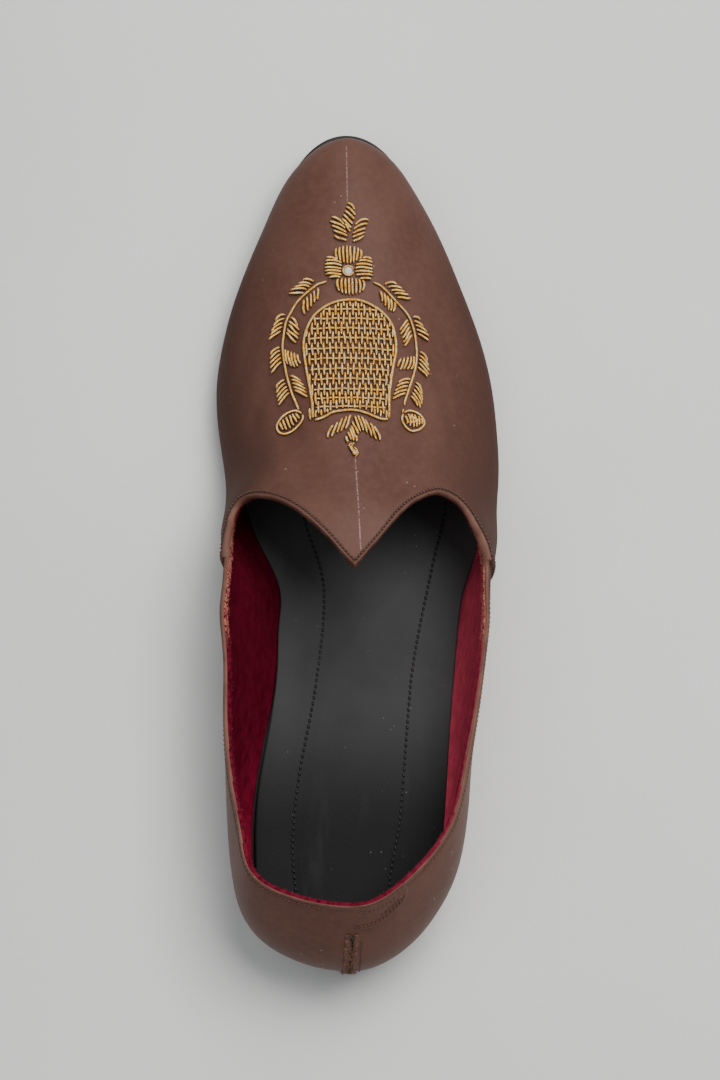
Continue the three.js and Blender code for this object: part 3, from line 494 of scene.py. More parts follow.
def brown_leather(name, marked=False):
    """Aniline brown with slow clouds, fine pores and wrinkles, small pale scuffs, and a darker band above the
    sole.
    The fold at the topline is paler, partly rubbed wear and partly a painted highlight. Painted shade darkens the
    groove along the stitching and the vamp's steep sides. Where it is marked, the embroiderer's two chalk lines
    still show."""
    material, place = new_material(name)
    clouds = place.noise(38, 3, (1, 0.7, 1))
    speckle = place.noise(420, 3)
    drop, rise = place.mark("drop"), place.mark("rise")
    colour = clouds.step(0.32, 0.68).blend((0.096, 0.040, 0.028, 1), (0.122, 0.054, 0.038, 1))
    colour = (speckle.step(0.35, 0.75) * 0.35).blend(colour, (0.150, 0.072, 0.052, 1))
    scuffs = place.noise(95, 4, (1.0, 0.30, 1), 0.7).step(0.66, 0.78) * place.noise(24, 1).step(0.5, 0.62)
    colour = (scuffs * 0.45).blend(colour, (0.24, 0.145, 0.115, 1))
    flecks = place.cells(260).step(0.13, 0.05) * place.noise(60, 1).step(0.57, 0.63)
    colour = (flecks * 0.4).blend(colour, (0.42, 0.30, 0.26, 1))
    colour = (rise.step(5.0, 0.0) * 0.55).blend(colour, (0.055, 0.026, 0.020, 1))
    forward = place.axis(1)
    slope = place.node("ShaderNodeTexCoord", output=1).axis(2)
    # Painted shade: the vamp's steep sides are darker.
    steep = slope.step(0.985, 0.5) * forward.step(-0.06, 0.0) * (0.25 + 0.75 * forward.step(0.13, 0.08))
    colour = (steep * 0.75).blend(colour, (0.050, 0.0175, 0.0115, 1))
    # The paler fold at the topline is partly rubbed wear and partly a painted highlight.
    rub_and_highlight = drop.step(1.1, 0.2) * (0.15 + 0.6 * place.noise(120, 3).step(0.42, 0.68))
    colour = rub_and_highlight.blend(colour, (0.195, 0.090, 0.064, 1))
    # Painted shade in the groove along the stitching.
    groove_shade = drop.step(1.5, 2.0) * drop.step(3.0, 2.5)
    colour = (groove_shade * (0.12 + 0.33 * forward.step(-0.05, -0.02))).blend(colour, (0.045, 0.022, 0.017, 1))
    if marked:
        chalk = chalk_line(place, 0.42, 0.1165, 0.138, -0.00475, 0.0)
        chalk = chalk + chalk_line(place, 0.50, -0.0105, 0.0215, -0.0019, -0.0402)
        colour = chalk.blend(colour, (0.50, 0.37, 0.33, 1))
    pores = place.cells(1500) * 0.55 + place.noise(900, 3) * 0.7
    wrinkles = place.noise(210, 4, (0.5, 1.3, 1), 0.62)
    grain = wrinkles.bump(0.22, 0.0006, pores.bump(0.20, 0.0003))
    roughness = 0.40 + 0.16 * clouds + scuffs * 0.15 + 0.10 * speckle + 0.25 * steep
    finish_material(material, {"Base Color": colour, "Roughness": roughness, "Normal": grain},
                    Specular_IOR_Level=0.20)
    return material


upper_leather = brown_leather("upper_leather", marked=True)

# The lining
# Crimson split suede, pasted inside the whole upper and trimmed at the topline. Its cut edge is rough and
# darker, and shows a coppery backing at the waist. The outer wall is painted paler than the inner, as painted
# light, and the inner wall is painted darker towards the heel, as painted shade.
red_suede, place = new_material("red_suede")
drop = place.mark("drop")
nap = place.noise(260, 4, (1, 0.6, 1.4), 0.7)
colour = nap.step(0.3, 0.72).blend((0.105, 0.0018, 0.012, 1), (0.235, 0.008, 0.034, 1))
across, forward = place.axis(0), place.axis(1)
# Painted light: the outer wall's lining is paler.
lit_outer_wall = nap.step(0.3, 0.72).blend((0.42, 0.044, 0.080, 1), (0.58, 0.068, 0.112, 1))
colour = across.step(0.0, 0.02).blend(colour, lit_outer_wall)
# Painted shade: the inner wall darkens towards the heel.
colour = (across.step(0.0, -0.02) * forward.step(-0.12, -0.04) * 0.7).blend(colour, (0.045, 0.001, 0.006, 1))
rough_edge = place.noise(600, 3).step(0.35, 0.62).blend((0.065, 0.0015, 0.010, 1), (0.155, 0.010, 0.024, 1))
colour = (drop.step(2.4, 0.9) * 0.85).blend(colour, rough_edge)
copper = drop.step(2.4, 1.4) * forward.step(-0.042, -0.032) * forward.step(0.006, -0.004)
copper = copper * place.noise(1500, 2).step(0.40, 0.60)
colour = (copper * 0.85).blend(colour, (0.46, 0.17, 0.115, 1))
fuzz = (nap * 0.6 + place.noise(2200, 3) * 0.5).bump(0.55, 0.0006)
finish_material(red_suede, {"Base Color": colour, "Normal": fuzz}, Roughness=0.95,
                Specular_IOR_Level=0.05)

line_count, ring_count = upper_grid.shape[:2]
upper_faces = grid_faces(line_count, ring_count, True, True)
lining_start = outer_count + np.round(cut_at).astype(int)
face_ring = upper_faces[:, 0] % ring_count
is_lining = (face_ring >= lining_start[upper_faces[:, 0] // ring_count]) & (face_ring < ring_count - 1)
rises = np.linalg.norm(upper_grid - upper_grid[:, :1], axis=-1)
upper = make_piece("upper_shell", upper_grid.reshape(-1, 3), [upper_faces], [upper_leather, red_suede],
                   {"drop": drops, "rise": rises}, is_lining.astype(int))
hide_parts("upper")

# The insole
# A foam sock covered in charcoal lining leather, glued over the whole floor of the shoe and sewn through in
# two long rows of black thread.
PAD_THICKNESS = 3.6
PAD_INSET = 2.45
PAD_RIM = 0.8
PAD_DISH = 0.5
THREAD_GROOVE = 0.45
HEEL_PRESS = 0.35


def edge_at(place, side):
    """The upper's edge in plan. Past either end it runs on along the other side."""
    beyond = (place < 0) | (place > np.pi)
    half = np.where(place < 0, -place, np.where(place > np.pi, 2 * np.pi - place, place))
    return last_point(half, np.where(beyond, -side, side), 0 * place)[..., :2]


def plan_outline(angle, side, margin):
    """The upper's edge moved out in plan by a margin, square to itself."""
    along = unit(edge_at(angle + 0.01, side) - edge_at(angle - 0.01, side))
    out = np.stack([side * along[..., 1], -side * along[..., 0]], axis=-1)
    return edge_at(angle, side) + out * np.asarray(margin)[..., None]


def weld(points, quads):
    """Corners at one place become one, and a face that has lost a corner becomes a triangle or goes."""
    _, first, place = np.unique(np.round(points * 2000).astype(np.int64), axis=0,
                                return_index=True, return_inverse=True)
    faces = place.reshape(-1)[quads]
    lost = faces == np.roll(faces, -1, axis=1)
    whole = faces[~lost.any(axis=1)]
    once = faces[lost.sum(axis=1) == 1]
    kept = ~lost[lost.sum(axis=1) == 1]
    return points[first], [whole, once[kept].reshape(-1, 3)]


def wall_lean(angle, side, height):
    """How far the last's wall has moved in plan at a height above its edge, faded out towards the toe."""
    up = np.clip(height / (3 * last_sizes(angle)[:, 8]), 0, 0.25)
    moved = (last_point(angle, side, up) - last_point(angle, side, 0 * up))[:, :2]
    kept = 1 - smooth_step(angle, 0.62 * np.pi, 0.74 * np.pi)
    if side < 0:
        kept = kept * (0.75 - 0.75 * smooth_step(angle, 0.45 * np.pi, 0.33 * np.pi))
    return moved * kept[:, None]


def plate(walls, bottom, top, stations=200, columns=36):
    """A plate that follows the upper's edge. Its wall is a stack of rings, each a margin and a height above
    the underside, and where given the height up the last's wall whose lean it follows. The bottom and top
    are cross rows that take their relief from a function."""
    angle = np.linspace(0, np.pi, stations + 1)
    rings = []
    for margin, height, *up in walls:
        margin = margin(angle) if callable(margin) else margin + 0 * angle
        sides = [plan_outline(angle, side, margin) + wall_lean(angle, side, sum(up)) for side in (-1, 1)]
        ring = np.concatenate([sides[0], sides[1][::-1][1:-1]])
        z = height(ring[:, 1] - BACK_Y) if callable(height) else underside(ring[:, 1] - BACK_Y) + height
        rings.append(np.column_stack([ring, z]))
    parts = [np.concatenate(rings)]
    faces = [grid_faces(len(walls), len(rings[0]), False, True)]
    count = len(parts[0])
    for relief, ring, way in ((bottom, rings[0], 1), (top, rings[-1], -1)):
        inner = ring[: stations + 1]
        outer_side = np.concatenate([ring[:1], ring[stations + 1:][::-1], ring[stations: stations + 1]])
        share = (1 - np.cos(np.pi * np.linspace(0, 1, columns + 1))) / 2
        grid = inner[:, None] + (outer_side - inner)[:, None] * share[None, :, None]
        border = np.linalg.norm(grid[:, :, None, :2] - ring[None, None, ::2, :2], axis=-1).min(axis=-1)
        border[:, [0, -1]] = 0
        border[[0, -1]] = 0
        grid[..., 2] += relief(grid, border)
        parts.append(grid.reshape(-1, 3))
        faces.append((grid_faces(stations + 1, columns + 1) + count)[:, ::way])
        count += grid.shape[0] * grid.shape[1]
    return weld(np.concatenate(parts), np.concatenate(faces))


def level_relief(grid, border):
    """Nought everywhere."""
    return 0 * border


# The two rows of thread through the pad, across from the centre line and forward
PAD_ROWS = [
    [[-16, 8], [-17, 26], [-18.2, 43], [-16.1, 66], [-10.2, 99], [-7.6, 132], [-14.2, 157], [-18, 190]],
    [[12.5, 10], [14.3, 32], [17.6, 52], [20.5, 87], [23, 108], [29.6, 140], [34.5, 162], [36, 190]],
]
pad_paths = [soft_path(row, 900) + [CENTRE_X, BACK_Y] for row in PAD_ROWS]


def heel_press(across, forward):
    """How deep a foot's heel has pressed the pad: a bell of the distance from its middle, 38 mm forward."""
    return HEEL_PRESS * np.exp(-((across / 20) ** 2 + ((forward - 38) / 24) ** 2))


def pad_relief(grid, border):
    """The pad is level within its rim, falls by half a millimetre towards the middle, is pulled down along
    both rows of thread, and is slightly uneven where a foot has pressed it."""
    dish = -PAD_DISH * smooth_step(border, 1, 9)
    near = np.min([np.linalg.norm(grid[:, :, None, :2] - path[None, None, ::12], axis=-1).min(axis=-1)
                   for path in pad_paths], axis=0)
    groove = -THREAD_GROOVE * np.exp(-((near / 1.3) ** 2))
    forward = grid[..., 1] - BACK_Y
    press = -heel_press(grid[..., 0] - CENTRE_X, forward)
    waves = 0.10 * np.sin(grid[..., 0] / 6.1 + 0.7) * np.sin(forward / 9.7) * smooth_step(border, 1, 6)
    return dish + groove + (press + waves) * smooth_step(border, 0, 6)


rounding = np.linspace(0, np.pi / 2, 6)
pad_walls = [(-PAD_INSET, EDGE_RISE), (-PAD_INSET, EDGE_RISE + 1.0, 0.8)]
for a in rounding:
    rim_height = PAD_THICKNESS - PAD_RIM * (1 - np.sin(a))
    pad_walls.append((-PAD_INSET - PAD_RIM * (1 - np.cos(a)), EDGE_RISE + rim_height, 0.7 * rim_height))
charcoal_leather, place = new_material("charcoal_leather")
clouds = place.noise(45, 3)
lint = place.cells(330).step(0.10, 0.04) * place.noise(90, 2).step(0.52, 0.62)
colour = clouds.step(0.3, 0.7).blend((0.034, 0.0335, 0.035, 1), (0.044, 0.0435, 0.045, 1))
long_marks = place.noise(70, 3, (1.6, 0.25, 1), 0.6).step(0.58, 0.75)
across, forward = place.axis(0), place.axis(1)
# Lighter towards the inner side. Painted shade darkens the heel, deep inside the counter, and a painted sheen
# lightens the pad from the waist forward.
colour = (across.step(-0.016, -0.026) * 0.5).blend(colour, (0.050, 0.051, 0.052, 1))
colour = (forward.step(-0.050, -0.100) * 0.88).blend(colour, (0.006, 0.006, 0.0065, 1))
colour = (forward.step(-0.035, 0.01) * 0.5).blend(colour, (0.070, 0.070, 0.071, 1))
colour = (long_marks * 0.25).blend(colour, (0.036, 0.036, 0.037, 1))
colour = (lint * 0.4).blend(colour, (0.30, 0.27, 0.25, 1))
grain = (place.cells(1300) * 0.6 + place.noise(1800, 2) * 0.4).bump(0.25, 0.0003)
finish_material(charcoal_leather, {"Base Color": colour, "Roughness": 0.5 + 0.14 * clouds, "Normal": grain},
                Specular_IOR_Level=0.09)
pad_points, pad_faces = plate(pad_walls, level_relief, pad_relief)
pad = make_piece("insole_pad", pad_points, pad_faces, [charcoal_leather])
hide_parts("insole")


def tubes(middles, ways, radius, sides=6):
    """Threads as tubes with pointed ends. Round each path a ring is laid of so many points, square to the
    path and turned from the outward way. Returns the points, the four- and three-cornered faces, and two
    numbers a point: along is its way along the path in millimetres, and below is nought on top and one
    beneath."""
    count, length = middles.shape[:2]
    radius = np.broadcast_to(radius, (count, length))
    along = unit(np.gradient(middles, axis=1))
    across = unit(np.cross(along, ways))
    up = np.cross(across, along)
    turn = 2 * np.pi * np.arange(sides) / sides
    cosine, sine = np.cos(turn)[None, None, :, None], np.sin(turn)[None, None, :, None]
    ring = across[:, :, None] * cosine + up[:, :, None] * sine
    rings = (middles[:, :, None] + ring * radius[..., None, None])[:, 1:-1]
    poles = middles[:, [0, -1]]
    each = (length - 2) * sides + 2
    points = np.concatenate([rings.reshape(count, -1, 3), poles], axis=1).reshape(-1, 3)
    quads = grid_faces(length - 2, sides, False, True)
    i, k = np.arange(sides), (np.arange(sides) + 1) % sides
    last = (length - 3) * sides
    caps = np.concatenate([np.column_stack([k, i, np.full(sides, each - 2)]),
                           np.column_stack([last + i, last + k, np.full(sides, each - 1)])])
    offsets = (np.arange(count) * each)[:, None, None]
    run = np.cumsum(np.linalg.norm(np.diff(middles, axis=1, prepend=middles[:, :1]), axis=-1), axis=1)
    marks = np.concatenate([np.repeat(run[:, 1:-1], sides, axis=1), run[:, [0, -1]]], axis=1)
    below = np.tile(np.r_[np.tile((1 - np.sin(turn)) / 2, length - 2), 0.5, 0.5], count)
    values = {"along": marks.ravel(), "below": below}
    return points, [(quads + offsets).reshape(-1, 4), (caps + offsets).reshape(-1, 3)], values


def joined(parts):
    """Several sets of tubes as one: faces are renumbered by the points before them."""
    start = np.cumsum([0] + [len(points) for points, _, _ in parts])
    faces = [np.concatenate([faces[k] + at for (_, faces, _), at in zip(parts, start)]) for k in (0, 1)]
    values = {key: np.concatenate([values[key] for _, _, values in parts]) for key in parts[0][2]}
    return np.concatenate([points for points, _, _ in parts]), faces, values


def stitches(path, ways, pitch, share, radius, sink=0.25, slant=0.0):
    """A row of stitches: short arches over the leather at even steps along a path, which dive in at both
    ends. Slant turns each one a little across the row."""
    length = np.r_[0, np.cumsum(np.linalg.norm(np.diff(path, axis=0), axis=1))]
    starts = np.arange(0.3 * pitch, length[-1] - pitch, pitch)
    t = np.linspace(0, 1, 7)
    at = starts[:, None] + share * pitch * t
    middle = np.stack([np.interp(at, length, column) for column in path.T], axis=-1)
    way = unit(np.stack([np.interp(at, length, column) for column in ways.T], axis=-1))
    across = unit(np.cross(way, unit(np.gradient(middle, axis=1))))
    arch = radius * 0.9 * np.sin(np.pi * t) ** 0.7 - sink * (2 * t - 1) ** 4
    middle = middle + way * arch[None, :, None] + across * (slant * (2 * t - 1))[None, :, None]
    return tubes(middle, way, radius * np.sin(np.pi * np.clip(t, 0.04, 0.96)) ** 0.3)


def sewn_piece(name, rows, material):
    """One piece of several rows of thread."""
    points, faces, marks = joined(rows)
    return make_piece(name, points, faces, [material], marks)


def waxed_thread(name, dark, light):
    """Twisted cotton: two tones in slanting turns along the stitch."""
    material, place = new_material(name)
    ply = (place.mark("along") * 14.0).sine()
    colour = (ply * 0.5 + place.noise(700, 2) * 0.8).step(0.0, 1.0).blend(dark, light)
    finish_material(material, {"Base Color": colour, "Normal": ply.bump(0.4, 0.0001)}, Roughness=0.62)
    return material


black_thread = waxed_thread("black_thread", (0.004, 0.004, 0.005, 1), (0.020, 0.019, 0.020, 1))
pad_rows = []
for path in pad_paths:
    forward = path[:, 1] - BACK_Y
    level = underside(forward) + EDGE_RISE + PAD_THICKNESS - PAD_DISH - THREAD_GROOVE
    level = level - heel_press(path[:, 0] - CENTRE_X, forward)
    row = np.column_stack([path, level + 0.05])
    pad_rows.append(stitches(row, np.tile([0.0, 0.0, 1.0], (len(row), 1)), 2.05, 0.7, 0.44, 0.3, 0.22))
pad_stitches = sewn_piece("insole_stitches", pad_rows, black_thread)

# The outsole and heel
# Black-dyed sole leather, cut a little proud of the upper, and under the heel a stack of leather lifts nailed
# up in layers and rasped to a taper.
SOLE_THICKNESS = 4.0
SOLE_EDGE = 0.8
TOE_EDGE = 2.5
HEEL_LENGTH = 68.5
HEEL_BREAST_SLOPE = 3.0
HEEL_TAPER = 1.5


def sole_margin(angle):
    """The sole's edge stands out evenly, and by a smooth step more at the tip of the toe."""
    return SOLE_EDGE + (TOE_EDGE - SOLE_EDGE) * smooth_step((1 - np.cos(angle)) / 2, 0.93, 1)


def sole_relief(grid, border):
    """A shallow channel runs near the edge of the tread, where the sole is sewn, and the tread is worn."""
    channel = 0.35 * np.exp(-(((border - 5.0) / 0.5) ** 2))
    wear = 0.08 * np.sin(grid[..., 0] / 5.3) * np.sin(grid[..., 1] / 7.9) * smooth_step(border, 3, 8)
    return channel * (grid[..., 1] - BACK_Y > HEEL_LENGTH + 2) + np.abs(wear)


sole_walls = [(lambda angle, a=a: sole_margin(angle) - 0.9 * (1 - np.sin(a)), 0.9 * (1 - np.cos(a)))
              for a in np.linspace(0, np.pi / 2, 5)]
sole_walls += [(lambda angle: sole_margin(angle) - 0.15, 1.9), (sole_margin, 2.6)]
sole_walls += [
    (lambda angle, a=a: sole_margin(angle) - 0.6 * (1 - np.cos(a)), SOLE_THICKNESS - 0.6 * (1 - np.sin(a)))
    for a in np.linspace(0, np.pi / 2, 4)]
black_sole, place = new_material("black_sole")
fibres = place.noise(340, 4, (1, 1, 0.25), 0.65)
wear_and_highlight = place.noise(30, 4).step(0.5, 0.68)
colour = fibres.step(0.3, 0.7).blend((0.010, 0.008, 0.0075, 1), (0.024, 0.018, 0.016, 1))
colour = (wear_and_highlight * 0.5).blend(colour, (0.055, 0.042, 0.035, 1))
finish_material(black_sole, {"Base Color": colour, "Roughness": 0.5 + 0.25 * fibres,
                             "Normal": fibres.bump(0.3, 0.0004)}, Specular_IOR_Level=0.4)
sole_points, sole_faces = plate(sole_walls, sole_relief, level_relief, columns=24)
sole = make_piece("sole_leather", sole_points, sole_faces, [black_sole])
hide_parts("outsole")

# Each lift bulges a little between two scored lines; the ring's share up the heel gives its taper. A ring
# runs round the heel and then across its front.
LIFT_COUNT = 3
STATIONS = 81
FRONT_COLUMNS = 25
lift_share = np.linspace(0, 1, 31)
groove = 0.28 * np.abs(np.cos(np.pi * LIFT_COUNT * lift_share)) ** 14
heel_rings = []
for share, score in zip(lift_share, groove):
    front = angle_at((HEEL_LENGTH - HEEL_BREAST_SLOPE * (1 - share)) / SHOE_LENGTH)
    angle = front * np.linspace(0, 1, STATIONS)
    corner = 0.5 * (1 - smooth_step(share, 0, 0.06)) + score
    margin = sole_margin(angle) - HEEL_TAPER + (HEEL_TAPER - 0.7) * share - corner
    ring = np.concatenate([plan_outline(angle, -1, margin), plan_outline(angle, 1, margin)[::-1][:-1]])
    top = underside(ring[:, 1] - BACK_Y) + 0.05
    heel_rings.append(np.column_stack([ring, top * share]))
front_share = np.linspace(0, 1, FRONT_COLUMNS)[:, None]
heel_grid = []
for ring in heel_rings:
    start, end = ring[STATIONS - 1], ring[STATIONS]
    heel_grid.append(np.vstack([ring[:STATIONS], start + (end - start) * front_share[1:-1], ring[STATIONS:]]))
heel_grid = np.array(heel_grid)
ring_size = heel_grid.shape[1]
caps = []
for ring, way in ((heel_grid[0], 1), (heel_grid[-1], -1)):
    outer_side = np.concatenate([ring[:1], ring[STATIONS + FRONT_COLUMNS - 2:][::-1]])
    pair = np.stack([ring[:STATIONS], outer_side], axis=1)
    caps.append((pair[:, :1] + (pair[:, 1:] - pair[:, :1]) * front_share[None], way))
heel_parts = [heel_grid.reshape(-1, 3)] + [cap.reshape(-1, 3) for cap, _ in caps]
heel_quads = [grid_faces(len(heel_grid), ring_size, False, True)]
start = heel_grid.shape[0] * ring_size
for cap, way in caps:
    heel_quads.append((grid_faces(*cap.shape[:2]) + start)[:, ::way])
    start += cap.shape[0] * cap.shape[1]
heel_points, heel_faces = weld(np.concatenate(heel_parts), np.concatenate(heel_quads))
stacked_leather, place = new_material("stacked_leather")
layers = place.noise(240, 3, (0.25, 0.25, 3.0), 0.6)
lift_tone = (place.axis(2) * 1640 + 0.3).sine()
tone = (layers * 0.8 + 0.15 * lift_tone).step(0.2, 0.8)
colour = tone.blend((0.018, 0.012, 0.010, 1), (0.062, 0.036, 0.026, 1))
finish_material(stacked_leather, {"Base Color": colour, "Roughness": 0.42 + 0.25 * layers,
                                  "Normal": layers.bump(0.35, 0.0005)}, Specular_IOR_Level=0.4)
heel = make_piece("heel_stack", heel_points, heel_faces, [stacked_leather])
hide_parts("heel")

# The topline's and side seams' stitching
# A row of dark brown thread holds the vamp's folded topline, and two rows hold the vamp down over each quarter.
# Along the quarters the topline's row is finer and of tan thread.
brown_thread = waxed_thread("brown_thread", (0.020, 0.009, 0.007, 1), (0.16, 0.075, 0.052, 1))
STITCH_PITCH = 1.4
SEAM_INSETS = (2.2, 3.6)
row = int(np.argmin(np.abs(near_topline - STITCH_INSET)))
topline_path = np.vstack([outer_skin[:, row], outer_skin[:1, row]])
topline_ways = np.vstack([outer_way[:, row], outer_way[:1, row]])
first_vamp, last_vamp = QUARTER_LINES, QUARTER_LINES + 2 * (len(vamp_shares) - 1)
seam_rows = [stitches(topline_path[first_vamp:last_vamp + 1], topline_ways[first_vamp:last_vamp + 1],
                      STITCH_PITCH, 0.58, 0.37, 0.10, 0.28)]
for inset in SEAM_INSETS:
    for count_from, step in ((first_vamp, 1), (last_vamp, -1)):
        lines = count_from + step * np.arange(3, 14)
        band, ways = outer_skin[lines, 8:-2], outer_way[lines, 8:-2]
        reach = np.linalg.norm(band - outer_skin[count_from, 8:-2][None], axis=-1)
        weight = np.array([np.interp(inset, column, np.arange(len(column))) for column in reach.T])
        at = weight.astype(int)
        part = (weight - at)[:, None]
        column = np.arange(band.shape[1])
        path = band[at, column] * (1 - part) + band[at + 1, column] * part
        seam_rows.append(stitches(path, ways[at, column], 1.9, 0.64, 0.25, 0.3))
topline_stitches = sewn_piece("topline_stitches", seam_rows, brown_thread)
tan_thread = waxed_thread("tan_thread", (0.070, 0.026, 0.018, 1), (0.20, 0.085, 0.058, 1))
back_rows = [stitches(topline_path[part], topline_ways[part], 1.6, 0.6, 0.26, 0.25, 0.15)
             for part in (slice(6, first_vamp - 2), slice(last_vamp + 2, -26))]
quarter_stitches = sewn_piece("quarter_stitches", back_rows, tan_thread)

# The lining's fuzz
# The suede is cut, not turned, at the topline, so short fibres stand out of its edge, coppery at the waist.
FIBRE_COUNT = 3200
chance = np.random.default_rng(7)
edge_line = chance.uniform(0, len(line_turn), FIBRE_COUNT)
at = edge_line.astype(int)
part = (edge_line - at)[:, None]
fuzz_row = 2  # The first ring of the lining that stands proud
root = inner_skin[at, fuzz_row] * (1 - part) + inner_skin[(at + 1) % len(line_turn), fuzz_row] * part
way = -inner_way[at, fuzz_row]
root = root + top_way[at, 0] * chance.uniform(-1.1, 0.15, FIBRE_COUNT)[:, None]
lean = unit(way + top_way[at, 0] * chance.uniform(-0.6, 0.9, FIBRE_COUNT)[:, None]
            + chance.normal(0, 0.45, (FIBRE_COUNT, 3)))
t = np.linspace(0, 1, 5)
reach = chance.uniform(0.35, 1.0, FIBRE_COUNT)[:, None, None]
curl = unit(chance.normal(0, 1, (FIBRE_COUNT, 3)))[:, None] * 0.22 * (t**2)[None, :, None]
fibres = root[:, None] - way[:, None] * 0.15 + (lean[:, None] * t[None, :, None] + curl) * reach
points, faces, _ = tubes(fibres, np.broadcast_to(way[:, None], fibres.shape), 0.055 * (1 - 0.5 * t), 3)
suede_fuzz, place = new_material("suede_fuzz")
colour = place.noise(240, 2).step(0.35, 0.65).blend((0.20, 0.008, 0.028, 1), (0.42, 0.045, 0.070, 1))
forward = place.axis(1)
copper = forward.step(-0.042, -0.034) * forward.step(0.006, -0.004)
colour = copper.blend(colour, (0.50, 0.20, 0.13, 1))
finish_material(suede_fuzz, {"Base Color": colour}, Roughness=0.9)
fuzz_piece = make_piece("lining_fuzz", points, faces, [suede_fuzz])

# The heel tab and the back seam
# A tab of the same leather is folded over the topline on the outer side. It is sewn down along its edge, with
# a second row at its far end and one under the topline. Below it a narrow strip covers the seam between the
# quarters. Its raw edges are frayed.
TAB_REACH = 17.4
TAB_HEIGHT = 0.55
TAB_START = (0.2, 5.5)  # Across from the seam, where the tab rises out of the leather
TAB_INSETS = (1.5, 2.7)
TAB_COLUMNS = 91
TAB_ROWS = 29
COUNTER_RUN = 42  # The collar's share of one in millimetres
# How far round the tab's lower edge lies, as a share of its reach, and how far up, as a share of the collar's
TAB_EDGE = np.array([[0, 0.80], [0.234, 0.818], [0.556, 0.825], [0.80, 0.850], [0.93, 0.872], [1.0, 0.915],
                     [0.985, 0.955], [0.93, 1.0]])


def back_place(across, share):
    """Points round the back: across from the seam, and a share of the way up to the collar. The skin's
    outward direction comes from steps of a hundredth both ways."""
    def point(across, share):
        side = np.where(across < 0, -1, 1)
        up = share * collar_up(0 * across, side)
        width = np.abs(last_point(0 * across + 0.05, side, up)[..., 0] - CENTRE_X) / np.sin(0.05)
        angle = np.arcsin(np.clip(np.abs(across) / width, 0, 1))
        return last_point(angle, side, share * collar_up(angle, side))
    here = point(across, share)
    sideways = point(across + 0.05, share) - point(across - 0.05, share)
    upward = point(across, share + 0.005) - point(across, share - 0.005)
    return here, unit(np.cross(sideways, upward))


def raised_patch(across, share, height, skirt=0.25):
    """A closed patch of leather from a grid of places round the back: a top at a height, walls down to just
    under the skin, and an underside."""
    here, way = back_place(across, share)
    top = here + way * height[..., None]
    under = here - way * skirt
    rows, columns = across.shape
    rim = np.concatenate([np.arange(columns), np.arange(1, rows) * columns + columns - 1,
                          (rows - 1) * columns + np.arange(columns - 1)[::-1],
                          np.arange(1, rows - 1)[::-1] * columns])
    count = rows * columns
    wall = np.stack([rim, np.roll(rim, -1), np.roll(rim, -1) + count, rim + count], axis=-1)
    faces = grid_faces(rows, columns)
    return (np.concatenate([top.reshape(-1, 3), under.reshape(-1, 3)]),
            np.concatenate([faces, faces[:, ::-1] + count, wall]))


tab_border = soft_path(TAB_EDGE * [TAB_REACH, 1], 120)
tab_low = even_path(tab_border, np.linspace(0, 1, TAB_COLUMNS))
tab_high = np.column_stack([np.linspace(0, TAB_EDGE[-1, 0] * TAB_REACH, TAB_COLUMNS), np.ones(TAB_COLUMNS)])
rows = np.linspace(0, 1, TAB_ROWS)[:, None]
tab_across = tab_low[None, :, 0] * (1 - rows) + tab_high[None, :, 0] * rows
tab_share = tab_low[None, :, 1] * (1 - rows) + tab_high[None, :, 1] * rows
tab_places = np.stack([tab_across, tab_share * COUNTER_RUN], axis=-1)
from_edge = np.linalg.norm(tab_places[:, :, None] - tab_border * [1, COUNTER_RUN], axis=-1).min(axis=-1)
tab_rise = TAB_HEIGHT * np.sqrt(1 - (1 - np.clip(from_edge / 0.5, 0, 1)) ** 2) + 0.02
for inset in TAB_INSETS:
    tab_rise = tab_rise - 0.22 * np.exp(-((from_edge - inset) / 0.35) ** 2)
tab_rise = 0.02 + tab_rise * smooth_step(tab_across, *TAB_START)
tab_points, tab_quads = raised_patch(tab_across, tab_share, tab_rise)
tab_leather = brown_leather("tab_leather")
tab = make_piece("tab", tab_points, [tab_quads], [tab_leather],
                 {"drop": np.full(len(tab_points), 9.0), "rise": np.full(len(tab_points), 40.0)})
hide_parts("heel_tab")
tab_rows = []
for inset, row_start in zip(TAB_INSETS, (0.5, 9)):
    low = even_path(tab_border, np.linspace(0.0, 0.97, 120))
    inward = np.gradient(low * [1, COUNTER_RUN], axis=0)
    inward = unit(np.column_stack([-inward[:, 1], inward[:, 0]])) * inset / [1, COUNTER_RUN]
    here, way = back_place(low[:, 0] + inward[:, 0], np.minimum(low[:, 1] + inward[:, 1], 0.985))
    level = (TAB_HEIGHT - 0.15) * smooth_step(low[:, 0], *TAB_START)
    kept = low[:, 0] > row_start
    tab_rows.append(stitches((here + way * level[:, None])[kept], way[kept], 1.4, 0.7, 0.26, 0.15, 0.1))
along_top = np.linspace(1.5, 14.8, 50)
here, way = back_place(along_top, np.full(50, 0.952))
level = (TAB_HEIGHT + 0.02) * smooth_step(along_top, *TAB_START)
tab_rows.append(stitches(here + way * level[:, None], way, 1.5, 0.62, 0.2, 0.2, 0.12))
# A last row runs up the counter, beside the strip
here, way = back_place(np.full(60, 3.4), np.linspace(0.06, 0.76, 60))
tab_rows.append(stitches(here + way * 0.05, way, 1.6, 0.6, 0.22, 0.3))
tab_stitches = sewn_piece("tab_stitches", tab_rows, brown_thread)

